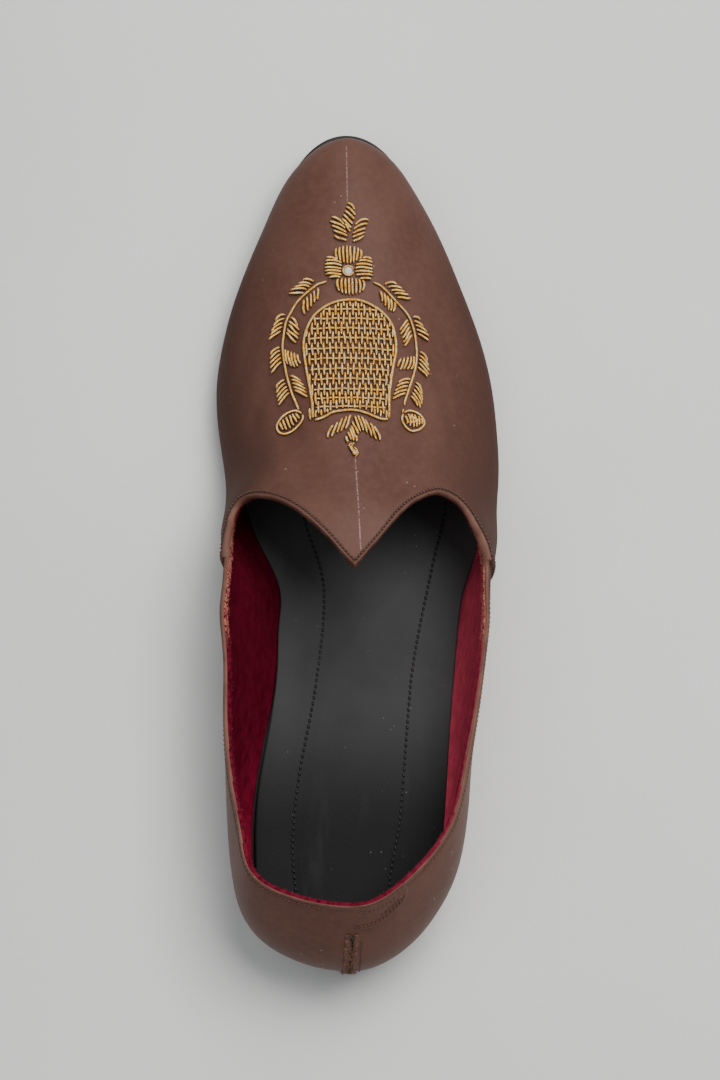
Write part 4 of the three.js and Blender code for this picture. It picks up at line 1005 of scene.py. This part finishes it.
# The strip is domed, ragged at its sides and split down its middle, and is full of small lumps
strip_share = np.linspace(0.02, 0.785, 110)[:, None]
strip_across = np.linspace(-2.1, 2.1, 25)[None]
ragged = 1 + 0.10 * np.sin(strip_share * 170) + 0.09 * np.sin(strip_share * 411 + 1)
ragged = ragged + 0.10 * np.sin(strip_share * 63)
strip_across, strip_share = np.broadcast_arrays(strip_across * ragged, strip_share)
off = np.abs(strip_across)
strip_rise = 0.70 * np.sqrt(np.clip(1 - (off / 2.3) ** 2, 0, 1)) + 0.03
slit_off = strip_across - 0.25 + 0.15 * np.sin(strip_share * 60)
slit = np.exp(-(slit_off / (0.34 + 0.1 * np.sin(strip_share * 90))) ** 2)
slit = np.maximum(slit, np.exp(-((strip_across - 0.1) / 0.9) ** 2 - ((strip_share - 0.755) / 0.016) ** 2))
strip_rise = strip_rise - 0.7 * slit * smooth_step(strip_share, 0.10, 0.2)
lumps = np.sin(strip_share * 260 + 3 * strip_across) + 0.8 * np.sin(strip_share * 517 - 2.1 * strip_across + 1)
strip_rise = strip_rise + 0.07 * lumps
strip_points, strip_quads = raised_patch(strip_across, strip_share, strip_rise)
strip_leather, place = new_material("frayed_leather")
shreds = place.noise(900, 5, (1, 1, 1), 0.75)
colour = shreds.step(0.42, 0.62).blend((0.088, 0.037, 0.026, 1), (0.165, 0.072, 0.048, 1))
raw = place.mark("raw") * place.noise(1400, 3).step(0.38, 0.6) * place.noise(330, 2).step(0.35, 0.6)
colour = raw.blend(colour, (0.36, 0.165, 0.095, 1))
# Painted shade: the split and the hole at its top are near-black.
colour = place.mark("slit").step(0.3, 0.7).blend(colour, (0.008, 0.005, 0.004, 1))
finish_material(strip_leather, {"Base Color": colour, "Normal": shreds.bump(0.8, 0.0008)}, Roughness=0.8)
count = strip_rise.size
strip = make_piece("seam_strip", strip_points, [strip_quads], [strip_leather],
                   {"slit": np.concatenate([slit.ravel(), np.zeros(count)]),
                    "raw": np.tile(smooth_step(off, 1.1, 1.9).ravel(), 2)})
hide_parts("back_seam_strip")
# Loose fibres stand out of its two edges and its split
FRAY_COUNT = 420
share = chance.uniform(0.06, 0.78, FRAY_COUNT)
across = chance.choice([-1.9, 0.0, 0.55, 1.95], FRAY_COUNT) + chance.normal(0, 0.24, FRAY_COUNT)
here, way = back_place(across, share)
lean = unit(way * 0.8 + chance.normal(0, 0.7, (FRAY_COUNT, 3)))
t = np.linspace(0, 1, 5)
reach = chance.uniform(0.4, 1.1, FRAY_COUNT)[:, None, None]
fray = here[:, None] + way[:, None] * 0.45 + lean[:, None] * t[None, :, None] * reach
points, faces, _ = tubes(fray, np.broadcast_to(way[:, None], fray.shape), 0.07 * (1 - 0.4 * t), 3)
leather_fray, place = new_material("leather_fray")
colour = place.noise(500, 2).step(0.35, 0.65).blend((0.13, 0.055, 0.036, 1), (0.38, 0.19, 0.11, 1))
finish_material(leather_fray, {"Base Color": colour}, Roughness=0.85)
fray_piece = make_piece("seam_fray", points, faces, [leather_fray])

# The embroidery's ground
# The motif is worked by hand on the vamp before lasting: short lengths of coiled gilt wire are threaded on a
# needle like beads and couched over a padding, so each lies as a small round bar on the leather.
MAP_STEP = 0.75
map_across = np.arange(-33, 33 + MAP_STEP, MAP_STEP)
map_forward = np.arange(132, 289, MAP_STEP)


def seen_from_above(across, forward):
    """The skin's height under places in plan: angle and up are found in turn, up by halving on the distance
    from the centre line and the angle from how far forward the place is."""
    side = np.where(across < 0, -1, 1)
    angle = angle_at(np.clip(forward / UPPER_LENGTH, 0, 1))
    for _ in range(5):
        low, high = np.full_like(across, 0.35), np.ones_like(across)
        for _ in range(16):
            up = (low + high) / 2
            wide = np.abs(last_point(angle, side, up)[..., 0] - CENTRE_X) > np.abs(across)
            low, high = np.where(wide, up, low), np.where(wide, high, up)
        height = last_point(angle, side, high)[..., 2]
        start = back_setback(height)
        angle = angle_at(np.clip((forward - start) / (UPPER_LENGTH - start), 0, 1))
    return height


map_places = np.meshgrid(map_across, map_forward, indexing="ij")
map_height = seen_from_above(*map_places) + fold_height(*map_places)
map_slope = np.stack(np.gradient(map_height, MAP_STEP), axis=-1)


def on_vamp(places, above=0.0):
    """Points at a height above the vamp, square to it, at places across and forward in plan, and the outward
    directions there. The height map and its slopes are read between their grid points in proportion."""
    places = np.asarray(places, float)
    i = (places[..., 0] - map_across[0]) / MAP_STEP
    j = (places[..., 1] - map_forward[0]) / MAP_STEP
    i0 = np.clip(i.astype(int), 0, len(map_across) - 2)
    j0 = np.clip(j.astype(int), 0, len(map_forward) - 2)
    u, v = (i - i0)[..., None], (j - j0)[..., None]
    table = np.concatenate([map_height[..., None], map_slope], axis=-1)
    read = (table[i0, j0] * (1 - u) + table[i0 + 1, j0] * u) * (1 - v)
    read = read + (table[i0, j0 + 1] * (1 - u) + table[i0 + 1, j0 + 1] * u) * v
    way = unit(np.stack([-read[..., 1], -read[..., 2], np.ones(read.shape[:-1])], axis=-1))
    ground = np.stack([places[..., 0] + CENTRE_X, places[..., 1] + BACK_Y, read[..., 0]], axis=-1)
    return ground + way * np.asarray(above, float)[..., None], way


COIL_RADIUS = 0.46
PADDING = 0.35


def laid_bars(table, radius=COIL_RADIUS, padding=PADDING, crown=0.35, steps=9, sides=7):
    """Bars of coiled wire, each through its start, middle and end in plan by the parabola through the three.
    Each rises by a sine over the padding and dips into the leather at both ends."""
    start, middle, end = np.asarray(table, float).reshape(-1, 3, 2).transpose(1, 0, 2)[:, :, None]
    t = np.linspace(0, 1, steps)
    share = t[None, :, None]
    places = start * (1 - share) * (1 - 2 * share) + 4 * middle * share * (1 - share)
    places = places + end * share * (2 * share - 1)
    reach = (end - start)[:, 0]
    across = np.stack([-reach[:, 1], reach[:, 0]], axis=-1)[:, None]
    places = places + across * hand.normal(0, 0.016, (len(reach), 1, 1)) * np.sin(2 * np.pi * share)
    above = radius * 0.85 + padding + crown * np.sin(np.pi * t) ** 0.8 - (padding + 0.35) * (2 * t - 1) ** 8
    middles, ways = on_vamp(places, np.broadcast_to(above, places.shape[:2]))
    blunt = np.sin(np.pi * np.clip(t, 0.06, 0.94)) ** 0.22
    return tubes(middles, ways, radius * blunt, sides)


def laid_cord(places, radius=COIL_RADIUS, above=0.45, step=0.7, sides=7, closed=False):
    """One long coil along a path in plan."""
    path = np.asarray(places, float)
    path = np.vstack([path, path[:1]]) if closed else path
    length = np.linalg.norm(np.diff(path, axis=0), axis=1).sum()
    path = even_path(soft_path(path, 900), np.linspace(0, 1, int(length / step)))
    middles, ways = on_vamp(path[None], np.full((1, len(path)), above))
    size = np.full(len(path), radius)
    size[[1, -2]] = radius * 0.9
    return tubes(middles, ways, size[None], sides)


hand = np.random.default_rng(21)
gilt_coil, place = new_material("gilt_coil")
turns = (place.mark("along") * 19.6).sine()
tarnish = place.noise(820, 2)
below = place.mark("below")
colour = tarnish.step(0.34, 0.66).blend((0.80, 0.30, 0.030, 1), (1.0, 0.60, 0.12, 1))
# Painted highlight, in patches: the top of each coil is paler.
wear_and_highlight = below.step(0.22, 0.07) * (0.15 + 0.6 * place.noise(640, 2).step(0.42, 0.60))
colour = wear_and_highlight.blend(colour, (1.0, 0.84, 0.40, 1))
# Painted shade: darker between the coil's turns, and near-black beneath each coil.
colour = (turns.step(-0.3, -1.0) * 0.25).blend(colour, (0.30, 0.11, 0.02, 1))
colour = below.step(0.28, 0.52).blend(colour, (0.085, 0.028, 0.010, 1))
finish_material(gilt_coil, {"Base Color": colour, "Normal": turns.bump(0.5, 0.00012),
                            "Roughness": 0.22 + 0.14 * tarnish}, Metallic=0.5)


def embroidered(name, parts, node):
    """One embroidered piece in place of its CAD node."""
    piece = sewn_piece(name, parts, gilt_coil)
    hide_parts(node)


# The panel
# An arch filled with basket work: level cords first, and over them upright bars that pass over every second
# cord, half a step apart from column to column. A bright cord runs round the edge.
PANEL_EDGE = np.array([
    [-12.7, 182.0], [-13.0, 187.9], [-13.6, 193.0], [-14.4, 198.0], [-15.1, 203.0], [-15.6, 208.2], [-15.4, 211.9],
    [-14.3, 216.1], [-12.0, 220.3], [-8.7, 223.2], [-4.7, 225.1], [-0.4, 225.8], [3.5, 225.5], [8.0, 223.5],
    [11.4, 220.8], [13.8, 217.2], [14.9, 212.3], [15.0, 207.3], [14.0, 202.1], [13.2, 197.1], [12.5, 192.1],
    [12.2, 187.0], [12.2, 182.1], [9.7, 181.8], [6.9, 182.8], [4.1, 183.9], [0.5, 184.7], [-3.1, 184.5],
    [-6.5, 183.9], [-8.7, 182.6], [-11.2, 181.6]])
CORD_ROWS = [186.1, 189.3, 192.6, 196.4, 200.1, 204.0, 207.8, 211.7, 215.3, 218.9, 222.3]
COLUMN_PITCH = 0.957
BAR_LENGTH = 5.3


def span_at(edge, axis, value):
    """Where a level or upright line at a value cuts the closed edge: its lowest and highest crossing."""
    a, b = edge, np.roll(edge, -1, axis=0)
    cut = (a[:, axis] - value) * (b[:, axis] - value) < 0
    share = (value - a[cut, axis]) / (b[cut, axis] - a[cut, axis])
    crossing = a[cut, 1 - axis] + (b[cut, 1 - axis] - a[cut, 1 - axis]) * share
    return crossing.min(), crossing.max()


panel_edge = soft_path(np.vstack([PANEL_EDGE, PANEL_EDGE[:1]]), 700)[:-1]
panel_parts = [
    laid_cord(PANEL_EDGE[:22], 0.50, 0.75),
    laid_cord(PANEL_EDGE[22:].tolist() + [[-12.4, 181.8]], 0.48, 0.70),
    laid_cord(PANEL_EDGE[21:23], 0.46, 0.72),
    laid_cord([[-13.9, 186.5], [-13.8, 183.5], [-13.5, 181.4]], 0.42, 0.5)]
for row in CORD_ROWS:
    left, right = span_at(panel_edge, 1, row)
    wave = np.linspace(left + 0.7, right - 0.7, 24)
    lift = row + 0.10 * np.sin(wave * 0.9 + row)
    panel_parts.append(laid_cord(np.column_stack([wave, lift]), 0.40, 0.62))
upright = []
for k in range(-15, 16):
    column = -0.3 + k * COLUMN_PITCH
    low, high = span_at(panel_edge, 0, column)
    low, high = low + 0.7, high - 0.7
    middles_here = [row for r, row in enumerate([182.6] + CORD_ROWS + [225.9]) if (r + k) % 2 == 0]
    for row in middles_here:
        bottom, top = max(row - BAR_LENGTH / 2, low), min(row + BAR_LENGTH / 2, high)
        if top - bottom > 1.3:
            upright.append([column, bottom, column, (bottom + top) / 2, column, top])
upright = np.array(upright)
panel_parts.append(laid_bars(upright + hand.normal(0, 0.09, upright.shape), 0.44, 0.25, 0.45, 8, 6))
embroidered("panel_work", panel_parts, "embroidery_panel")

# The vines
# A stem of one long coil runs down each side of the panel. It has four pairs of leaves of slanting bars, and a
# bud with a cord round it at its foot.
INNER_STEM = [
    [-7.6, 232.7], [-9.7, 232.1], [-11.0, 231.6], [-12.5, 230.5], [-14.3, 229.1], [-16.0, 227.5], [-17.6, 225.8],
    [-19.0, 223.5], [-20.3, 221.1], [-21.3, 219.0], [-21.8, 216.6], [-22.2, 213.7], [-22.5, 210.5], [-22.5, 207.9],
    [-22.2, 205.1], [-21.7, 201.9], [-21.2, 198.8], [-20.4, 195.4], [-19.5, 192.0], [-18.4, 188.9], [-17.2, 185.6]]
OUTER_STEM = [
    [7.4, 232.6], [9.7, 231.7], [10.9, 230.8], [12.0, 229.8], [13.4, 228.3], [15.3, 226.2], [17.3, 224.1],
    [18.8, 222.4], [20.0, 220.5], [20.8, 218.3], [21.5, 215.6], [21.9, 212.7], [22.1, 209.8], [22.2, 207.6],
    [22.0, 204.8], [21.5, 201.7], [20.8, 199.0], [19.8, 195.8], [18.7, 192.3], [17.8, 189.6], [17.4, 187.5]]
# Each row is a bar's root, middle and tip
INNER_LEAVES = [
    [-11.8, 232.6, -14.3, 233.7, -15.9, 233.2], [-12.8, 231.6, -15.3, 232.5, -17.4, 232.4],
    [-13.3, 230.7, -16.3, 231.5, -19.0, 231.4], [-14.3, 230.0, -17.2, 230.5, -20.4, 230.3],
    [-15.3, 228.8, -17.9, 228.9, -20.7, 229.3],
    [-10.8, 230.7, -10.7, 228.2, -11.1, 225.8], [-12.1, 229.7, -11.9, 227.0, -12.2, 224.8],
    [-13.4, 228.7, -13.0, 226.1, -13.2, 223.2], [-14.5, 227.7, -14.2, 224.7, -14.2, 221.8],
    [-15.5, 226.6, -15.5, 223.8, -15.1, 220.6],
    [-21.6, 221.4, -23.4, 221.2, -25.0, 219.3], [-21.9, 220.1, -23.9, 219.2, -25.7, 217.5],
    [-22.3, 218.7, -24.5, 217.4, -26.3, 215.6], [-22.5, 217.3, -24.7, 215.8, -26.8, 214.1],
    [-22.9, 215.8, -25.0, 214.2, -27.3, 212.6],
    [-20.0, 220.4, -18.4, 218.9, -17.5, 216.4], [-20.5, 219.2, -18.7, 217.2, -17.0, 214.9],
    [-20.8, 217.9, -19.0, 215.6, -17.0, 213.3], [-21.1, 216.6, -19.4, 214.1, -17.3, 211.8],
    [-21.4, 215.2, -19.8, 212.7, -17.9, 210.4],
    [-23.3, 209.8, -25.3, 208.6, -26.4, 207.0], [-23.2, 208.5, -25.1, 207.1, -26.8, 205.4],
    [-23.1, 207.2, -24.9, 205.5, -26.9, 203.8], [-22.9, 205.9, -24.7, 204.0, -26.8, 202.1],
    [-22.7, 204.3, -24.5, 202.3, -26.5, 200.4],
    [-21.7, 209.0, -21.4, 205.7, -20.8, 202.6], [-20.8, 208.6, -20.4, 205.0, -19.7, 201.7],
    [-19.8, 208.0, -19.4, 204.5, -18.5, 201.3], [-18.8, 207.3, -18.4, 204.4, -17.4, 201.4],
    [-17.8, 206.5, -17.4, 204.5, -16.6, 202.6],
    [-21.9, 197.6, -23.6, 196.1, -24.5, 194.4], [-21.5, 196.4, -23.3, 194.5, -24.5, 192.8],
    [-21.0, 195.2, -22.9, 193.0, -24.5, 191.2], [-20.6, 194.0, -22.5, 191.7, -24.3, 189.6],
    [-20.2, 192.8, -22.1, 190.4, -24.0, 188.2],
    [-20.2, 198.5, -18.4, 197.7, -16.4, 196.1], [-19.9, 197.2, -17.7, 196.1, -15.5, 194.5],
    [-19.6, 195.9, -17.3, 194.7, -14.9, 193.0], [-19.3, 194.6, -16.9, 193.2, -14.6, 191.6],
    [-18.9, 193.2, -16.6, 191.8, -14.3, 190.2]]
OUTER_LEAVES = [
    [11.4, 232.0, 13.6, 232.9, 16.0, 232.1], [12.5, 231.0, 15.1, 231.5, 17.8, 231.1],
    [13.5, 229.9, 16.1, 230.2, 18.8, 230.0], [14.5, 228.8, 17.2, 229.1, 20.2, 229.1],
    [15.6, 227.6, 18.1, 227.6, 20.9, 228.1],
    [10.0, 229.6, 10.4, 227.6, 10.6, 225.3], [11.2, 229.0, 11.6, 226.3, 11.6, 223.8],
    [12.3, 228.4, 12.7, 225.3, 12.6, 222.4], [13.5, 227.2, 13.7, 224.8, 13.4, 222.1],
    [14.7, 225.9, 14.8, 224.1, 14.3, 222.0],
    [21.0, 220.9, 22.3, 221.1, 23.6, 220.3], [21.3, 219.7, 23.1, 218.9, 24.8, 217.8],
    [21.8, 218.3, 23.9, 217.3, 26.0, 216.0], [22.2, 216.8, 24.3, 215.7, 26.9, 214.5],
    [22.5, 215.2, 24.5, 213.9, 26.8, 212.9],
    [19.3, 220.1, 17.8, 217.7, 16.4, 215.2], [19.8, 218.8, 18.1, 216.3, 16.7, 213.9],
    [20.2, 217.4, 18.6, 214.9, 17.1, 212.4], [20.6, 216.0, 19.0, 213.5, 17.5, 210.9],
    [20.9, 214.5, 19.3, 212.1, 17.9, 209.6],
    [23.2, 208.3, 24.7, 207.1, 25.8, 205.0], [22.9, 207.1, 24.8, 205.1, 26.3, 203.1],
    [22.8, 205.8, 24.7, 203.6, 26.5, 201.4], [22.7, 204.4, 24.4, 202.1, 26.5, 199.9],
    [22.5, 202.8, 24.0, 200.9, 25.8, 199.1],
    [16.8, 205.2, 16.0, 203.5, 15.4, 201.6], [18.0, 205.7, 17.2, 203.1, 16.3, 200.6],
    [19.1, 206.1, 18.5, 203.5, 17.4, 200.8], [20.2, 206.5, 19.8, 203.7, 18.6, 200.9],
    [21.2, 206.6, 20.9, 203.8, 19.8, 201.1],
    [21.5, 196.8, 22.9, 195.0, 23.7, 192.3], [21.1, 195.6, 22.7, 193.3, 24.0, 190.1],
    [20.7, 194.4, 22.3, 191.8, 23.6, 188.5], [20.2, 193.1, 21.7, 190.5, 23.0, 187.1],
    [19.8, 191.7, 21.0, 189.8, 22.2, 187.9],
    [20.0, 197.6, 17.6, 197.2, 15.5, 195.7], [19.6, 196.3, 17.1, 195.7, 14.8, 194.1],
    [19.2, 195.0, 16.7, 194.2, 14.2, 192.6], [18.8, 193.7, 16.3, 192.7, 13.8, 191.1],
    [18.3, 192.4, 15.8, 191.1, 13.4, 189.5]]
INNER_BUD_EDGE = [
    [-16.3, 184.3], [-16.0, 182.6], [-17.2, 180.5], [-19.2, 178.6], [-21.4, 177.6], [-23.4, 178.1], [-24.5, 180.0],
    [-24.0, 182.3], [-22.6, 184.2], [-20.6, 185.4], [-18.3, 185.7]]
INNER_BUD_BARS = [
    [-23.4, 182.2, -23.0, 180.7, -22.6, 179.2], [-22.5, 183.3, -21.9, 181.1, -21.3, 178.8],
    [-21.5, 184.0, -20.7, 181.7, -20.0, 179.3], [-20.4, 184.5, -19.6, 182.3, -18.9, 180.2],
    [-19.3, 184.8, -18.6, 183.1, -17.9, 181.3], [-18.2, 184.8, -17.7, 183.7, -17.1, 182.5]]
OUTER_BUD_EDGE = [
    [17.2, 184.9], [19.0, 186.0], [21.3, 185.8], [23.3, 184.6], [24.4, 182.4], [23.3, 180.3], [21.6, 179.1],
    [19.5, 178.7], [17.6, 180.1], [16.6, 182.6]]
OUTER_BUD_BARS = [
    [17.6, 183.9, 18.1, 182.4, 18.3, 180.9], [18.5, 184.9, 19.2, 182.6, 19.3, 180.1],
    [19.6, 185.2, 20.2, 182.4, 20.5, 179.8], [20.8, 185.1, 21.2, 182.6, 21.6, 180.2],
    [22.0, 184.6, 22.3, 182.9, 22.5, 181.1], [23.1, 183.8, 23.3, 182.7, 23.4, 181.7],
    [18.3, 183.9, 20.4, 183.3, 22.6, 182.2], [18.6, 181.7, 20.6, 181.9, 22.6, 183.5]]
embroidered("inner_vine", [
    laid_cord(INNER_STEM, 0.44, 0.62), laid_cord(INNER_BUD_EDGE, 0.42, 0.55, closed=True),
    laid_bars(INNER_LEAVES), laid_bars(INNER_BUD_BARS)], "vine_inner")
embroidered("outer_vine", [
    laid_cord(OUTER_STEM, 0.44, 0.62), laid_cord([[17.3, 187.1], [16.9, 185.3], [16.6, 184.4]], 0.44, 0.6),
    laid_cord(OUTER_BUD_EDGE, 0.42, 0.55, closed=True), laid_bars(OUTER_LEAVES),
    laid_bars(OUTER_BUD_BARS)], "vine_outer")

# The flower
# Four petals of parallel bars about a clear stone, each petal domed over its own padding.
FLOWER_MIDDLE = np.array([-0.7, 236.4])
PETALS = [
    [-4.6, 244.8, -4.8, 242.4, -4.2, 240.2], [-3.4, 245.5, -3.6, 242.4, -3.2, 239.6],
    [-2.2, 245.9, -2.4, 242.4, -2.1, 238.9], [-1.0, 246.1, -1.1, 242.4, -1.1, 238.5],
    [0.1, 246.0, 0.0, 242.4, -0.1, 238.5], [1.3, 245.8, 1.2, 242.4, 1.0, 239.0],
    [2.4, 245.3, 2.4, 242.4, 1.9, 239.7], [3.2, 244.5, 3.6, 242.5, 3.0, 240.3],
    [-8.2, 241.3, -5.9, 241.0, -4.1, 240.1], [-8.7, 240.1, -5.6, 240.0, -2.6, 239.0],
    [-8.9, 238.8, -5.7, 238.8, -2.5, 238.0], [-9.0, 237.6, -5.7, 237.4, -2.6, 237.0],
    [-8.9, 236.4, -5.7, 236.3, -2.6, 236.0], [-8.6, 235.1, -5.6, 235.2, -2.5, 234.9],
    [-7.4, 233.9, -5.1, 234.1, -3.2, 233.9],
    [3.9, 241.0, 5.7, 241.2, 7.2, 240.6], [2.5, 239.9, 5.0, 240.1, 7.8, 239.5],
    [1.4, 238.5, 4.6, 238.8, 7.9, 238.4], [1.2, 237.2, 4.5, 237.5, 8.1, 237.3],
    [1.2, 236.0, 4.5, 236.2, 8.0, 236.1], [1.4, 234.9, 4.7, 235.0, 7.9, 234.9],
    [3.0, 233.6, 5.0, 233.6, 7.3, 233.6],
    [-3.9, 233.5, -4.4, 231.3, -3.6, 228.6], [-2.7, 234.1, -3.0, 230.9, -2.6, 227.8],
    [-1.6, 234.2, -1.7, 230.9, -1.6, 227.4], [-0.5, 234.2, -0.5, 230.8, -0.5, 227.2],
    [0.6, 234.1, 0.6, 230.8, 0.7, 227.3], [1.7, 233.9, 1.9, 230.9, 1.8, 227.5],
    [2.8, 233.6, 3.2, 231.0, 2.9, 227.9], [3.8, 233.1, 4.5, 231.2, 3.9, 228.8]]
ring_turn = np.linspace(0, 2 * np.pi, 17)[:-1]
stone_ring = FLOWER_MIDDLE + 1.75 * np.column_stack([np.cos(ring_turn), np.sin(ring_turn)])
embroidered("flower_work", [
    laid_bars(PETALS, 0.47, 0.40, 0.50), laid_cord(stone_ring, 0.34, 0.75, 0.55, closed=True)],
    "embroidery_flower")

# The stone
# A small clear cut glass stone with a foil back, held by the ring of coil.
STONE_RADIUS = 1.45
STONE_RINGS = [(1.0, 0.15), (1.0, 0.62), (0.80, 1.05), (0.42, 1.42)]
stone_ground, stone_way = on_vamp(FLOWER_MIDDLE)
stone_side = unit(np.cross(np.array([0.0, 1.0, 0.0]), stone_way))
stone_ahead = np.cross(stone_way, stone_side)
FACETS = 12
rings = []
for index, (share, above) in enumerate(STONE_RINGS):
    turn = 2 * np.pi * (np.arange(FACETS) + 0.5 * (index % 2)) / FACETS
    rings.append(stone_ground + stone_way * above + share * STONE_RADIUS * (
        np.outer(np.cos(turn), stone_side) + np.outer(np.sin(turn), stone_ahead)))
around = np.arange(FACETS)
stone_faces = []
for index in range(len(rings) - 1):
    low, high = index * FACETS, (index + 1) * FACETS
    skew = index % 2
    a, b = low + around, low + (around + 1) % FACETS
    c, d = high + (around + skew) % FACETS, high + (around + skew + 1) % FACETS
    stone_faces += [np.column_stack([a, b, c]), np.column_stack([b, d, c])]
stone_faces += [around[::-1][None], around[None] + (len(rings) - 1) * FACETS]
clear_stone, place = new_material("clear_stone")
glint = place.noise(1400, 2)
colour = glint.step(0.4, 0.6).blend((0.86, 0.86, 0.84, 1), (1.0, 1.0, 1.0, 1))
finish_material(clear_stone, {"Base Color": colour, "Roughness": 0.04 + 0.08 * glint}, Metallic=0.35,
                Coat_Weight=0.8, Coat_Roughness=0.03)
stone = make_piece("stone", np.concatenate(rings), stone_faces, [clear_stone], smooth=False)
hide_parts("flower_crystal")

# The sprigs
# A sprig of three leaves points to the toe, and another points to the throat and ends in a loose tuft.
TOE_LEAVES = [
    [-1.0, 261.5, 0.6, 260.6, 1.5, 258.9], [-1.5, 260.2, 0.4, 258.7, 1.9, 256.8],
    [-2.0, 258.8, -0.1, 257.0, 1.6, 255.2], [-2.5, 257.4, -0.7, 255.3, 1.0, 253.5],
    [-2.9, 255.8, -1.1, 253.8, 0.5, 251.9], [-2.0, 253.9, -0.9, 252.3, 0.0, 250.7],
    [-6.4, 256.5, -4.0, 255.3, -1.9, 253.2], [-7.0, 255.0, -4.0, 253.5, -1.4, 251.7],
    [-6.5, 253.3, -3.7, 251.8, -0.9, 250.3], [-5.9, 251.6, -3.3, 250.1, -0.7, 249.0],
    [-5.4, 249.8, -3.5, 248.1, -0.9, 247.4],
    [6.5, 255.2, 4.0, 255.2, 1.4, 253.0], [6.2, 253.8, 3.6, 253.3, 0.9, 251.4],
    [5.7, 252.3, 3.0, 251.2, 0.6, 249.9], [5.2, 250.9, 2.9, 249.6, 0.5, 248.6],
    [4.7, 249.6, 2.9, 248.0, 0.6, 247.2]]
embroidered("toe_leaves", [laid_bars(TOE_LEAVES)], "toe_sprig")
THROAT_LEAVES = [
    [-6.2, 179.4, -7.4, 177.0, -8.1, 174.3], [-4.6, 180.7, -5.8, 177.5, -6.9, 174.7],
    [-3.1, 182.1, -4.1, 179.0, -5.2, 176.1], [-1.7, 182.8, -2.7, 179.6, -4.0, 176.4],
    [-0.3, 183.2, -1.3, 180.3, -2.6, 177.4],
    [-0.6, 179.2, 0.2, 176.6, 1.1, 173.9], [-0.1, 180.9, 0.8, 178.1, 1.9, 175.5],
    [0.6, 183.0, 1.5, 179.8, 2.7, 176.5], [1.7, 183.1, 2.6, 180.1, 3.7, 176.8],
    [2.8, 182.7, 3.9, 179.6, 4.8, 176.2], [4.0, 181.8, 5.2, 178.5, 6.3, 174.8],
    [5.5, 180.6, 6.7, 177.3, 8.0, 173.8], [7.0, 179.4, 8.1, 176.7, 9.0, 173.5],
    [-2.1, 175.0, -2.0, 173.8, -1.6, 172.7], [-1.5, 176.7, -1.1, 175.1, -0.5, 173.6],
    [-0.8, 178.4, -0.3, 175.7, 0.3, 173.0], [0.9, 175.3, 1.2, 174.2, 1.3, 173.0]]
TUFT = [
    [[-1.7, 171.3], [-0.3, 172.4], [-0.1, 170.2], [1.6, 169.1], [0.6, 167.3]],
    [[0.5, 172.7], [-0.5, 170.8], [0.4, 168.0], [1.3, 169.6], [0.2, 170.9]],
    [[-1.3, 171.7], [-0.7, 170.2], [0.0, 169.0], [0.9, 167.8], [0.2, 169.6]]]
tuft = [laid_cord(curl, 0.30, 0.5 + 0.3 * turn, 0.35, 6) for turn, curl in enumerate(TUFT)]
embroidered("throat_leaves", [laid_bars(THROAT_LEAVES)] + tuft, "throat_sprig")

# The view
# A pale studio floor, with a painted shadow that darkens it to the left, under soft light from the right and
# front.
# It is seen from nearly above, as in the photograph, and the camera frames the one shoe.
FLOOR_SIZE = 4.0
floor_mesh = bpy.data.meshes.new("studio_floor")
half = FLOOR_SIZE / 2
corners = [(-half, -half, 0), (half, -half, 0), (half, half, 0), (-half, half, 0)]
floor_mesh.from_pydata(corners, [], [(0, 1, 2, 3)])
studio_floor = bpy.data.objects.new("studio_floor", floor_mesh)
bpy.context.scene.collection.objects.link(studio_floor)
floor_paper, place = new_material("floor_paper")
colour = place.noise(9, 2).step(0.3, 0.7).blend((0.80, 0.80, 0.785, 1), (0.83, 0.83, 0.815, 1))
# Painted shadow: the floor darkens to the left.
left = place.axis(0).step(-0.05, -0.30)
colour = (left * 0.8).blend(colour, (0.52, 0.52, 0.51, 1))
finish_material(floor_paper, {"Base Color": colour}, Roughness=0.9, Specular_IOR_Level=0.2)
floor_mesh.materials.append(floor_paper)

world = bpy.data.worlds.new("studio")
world.use_nodes = True
world.node_tree.nodes["Background"].inputs["Color"].default_value = (0.93, 0.96, 1.0, 1)
world.node_tree.nodes["Background"].inputs["Strength"].default_value = 0.26
bpy.context.scene.world = world


def soft_light(name, place, aim, size, power, colour):
    """A square area light at a place, turned to its aim, in metres and watts."""
    lamp = bpy.data.lights.new(name, "AREA")
    lamp.shape = "SQUARE"
    lamp.size = size
    lamp.energy = power
    lamp.color = colour
    light = bpy.data.objects.new(name, lamp)
    light.location = place
    light.rotation_euler = (Vector(aim) - Vector(place)).to_track_quat("-Z", "Y").to_euler()
    bpy.context.scene.collection.objects.link(light)


soft_light("key_light", (0.42, 0.42, 1.55), (0, 0, 0.02), 1.0, 27, (1.0, 0.99, 0.97))
soft_light("fill_light", (-0.7, -0.15, 1.5), (0, 0, 0.02), 1.0, 5, (0.97, 0.98, 1.0))
soft_light("front_card", (0.15, 1.3, 1.15), (0, 0.05, 0.03), 0.7, 4, (1, 1, 1))

CAMERA_DISTANCE = 1.235
camera_data = bpy.data.cameras.new("photo_camera")
camera_data.lens = 122
camera_data.sensor_width = 36
camera = bpy.data.objects.new("photo_camera", camera_data)
aim = Vector((0, 0, 0.025))
toward_camera = Vector((-0.0577, -0.2126, 1)).normalized()
camera.location = aim + toward_camera * CAMERA_DISTANCE
to_right = Vector((0, 1, 0)).cross(toward_camera).normalized()
turned = Matrix((to_right, toward_camera.cross(to_right), toward_camera)).transposed()
camera.rotation_euler = turned.to_euler()
bpy.context.scene.collection.objects.link(camera)
bpy.context.scene.camera = camera
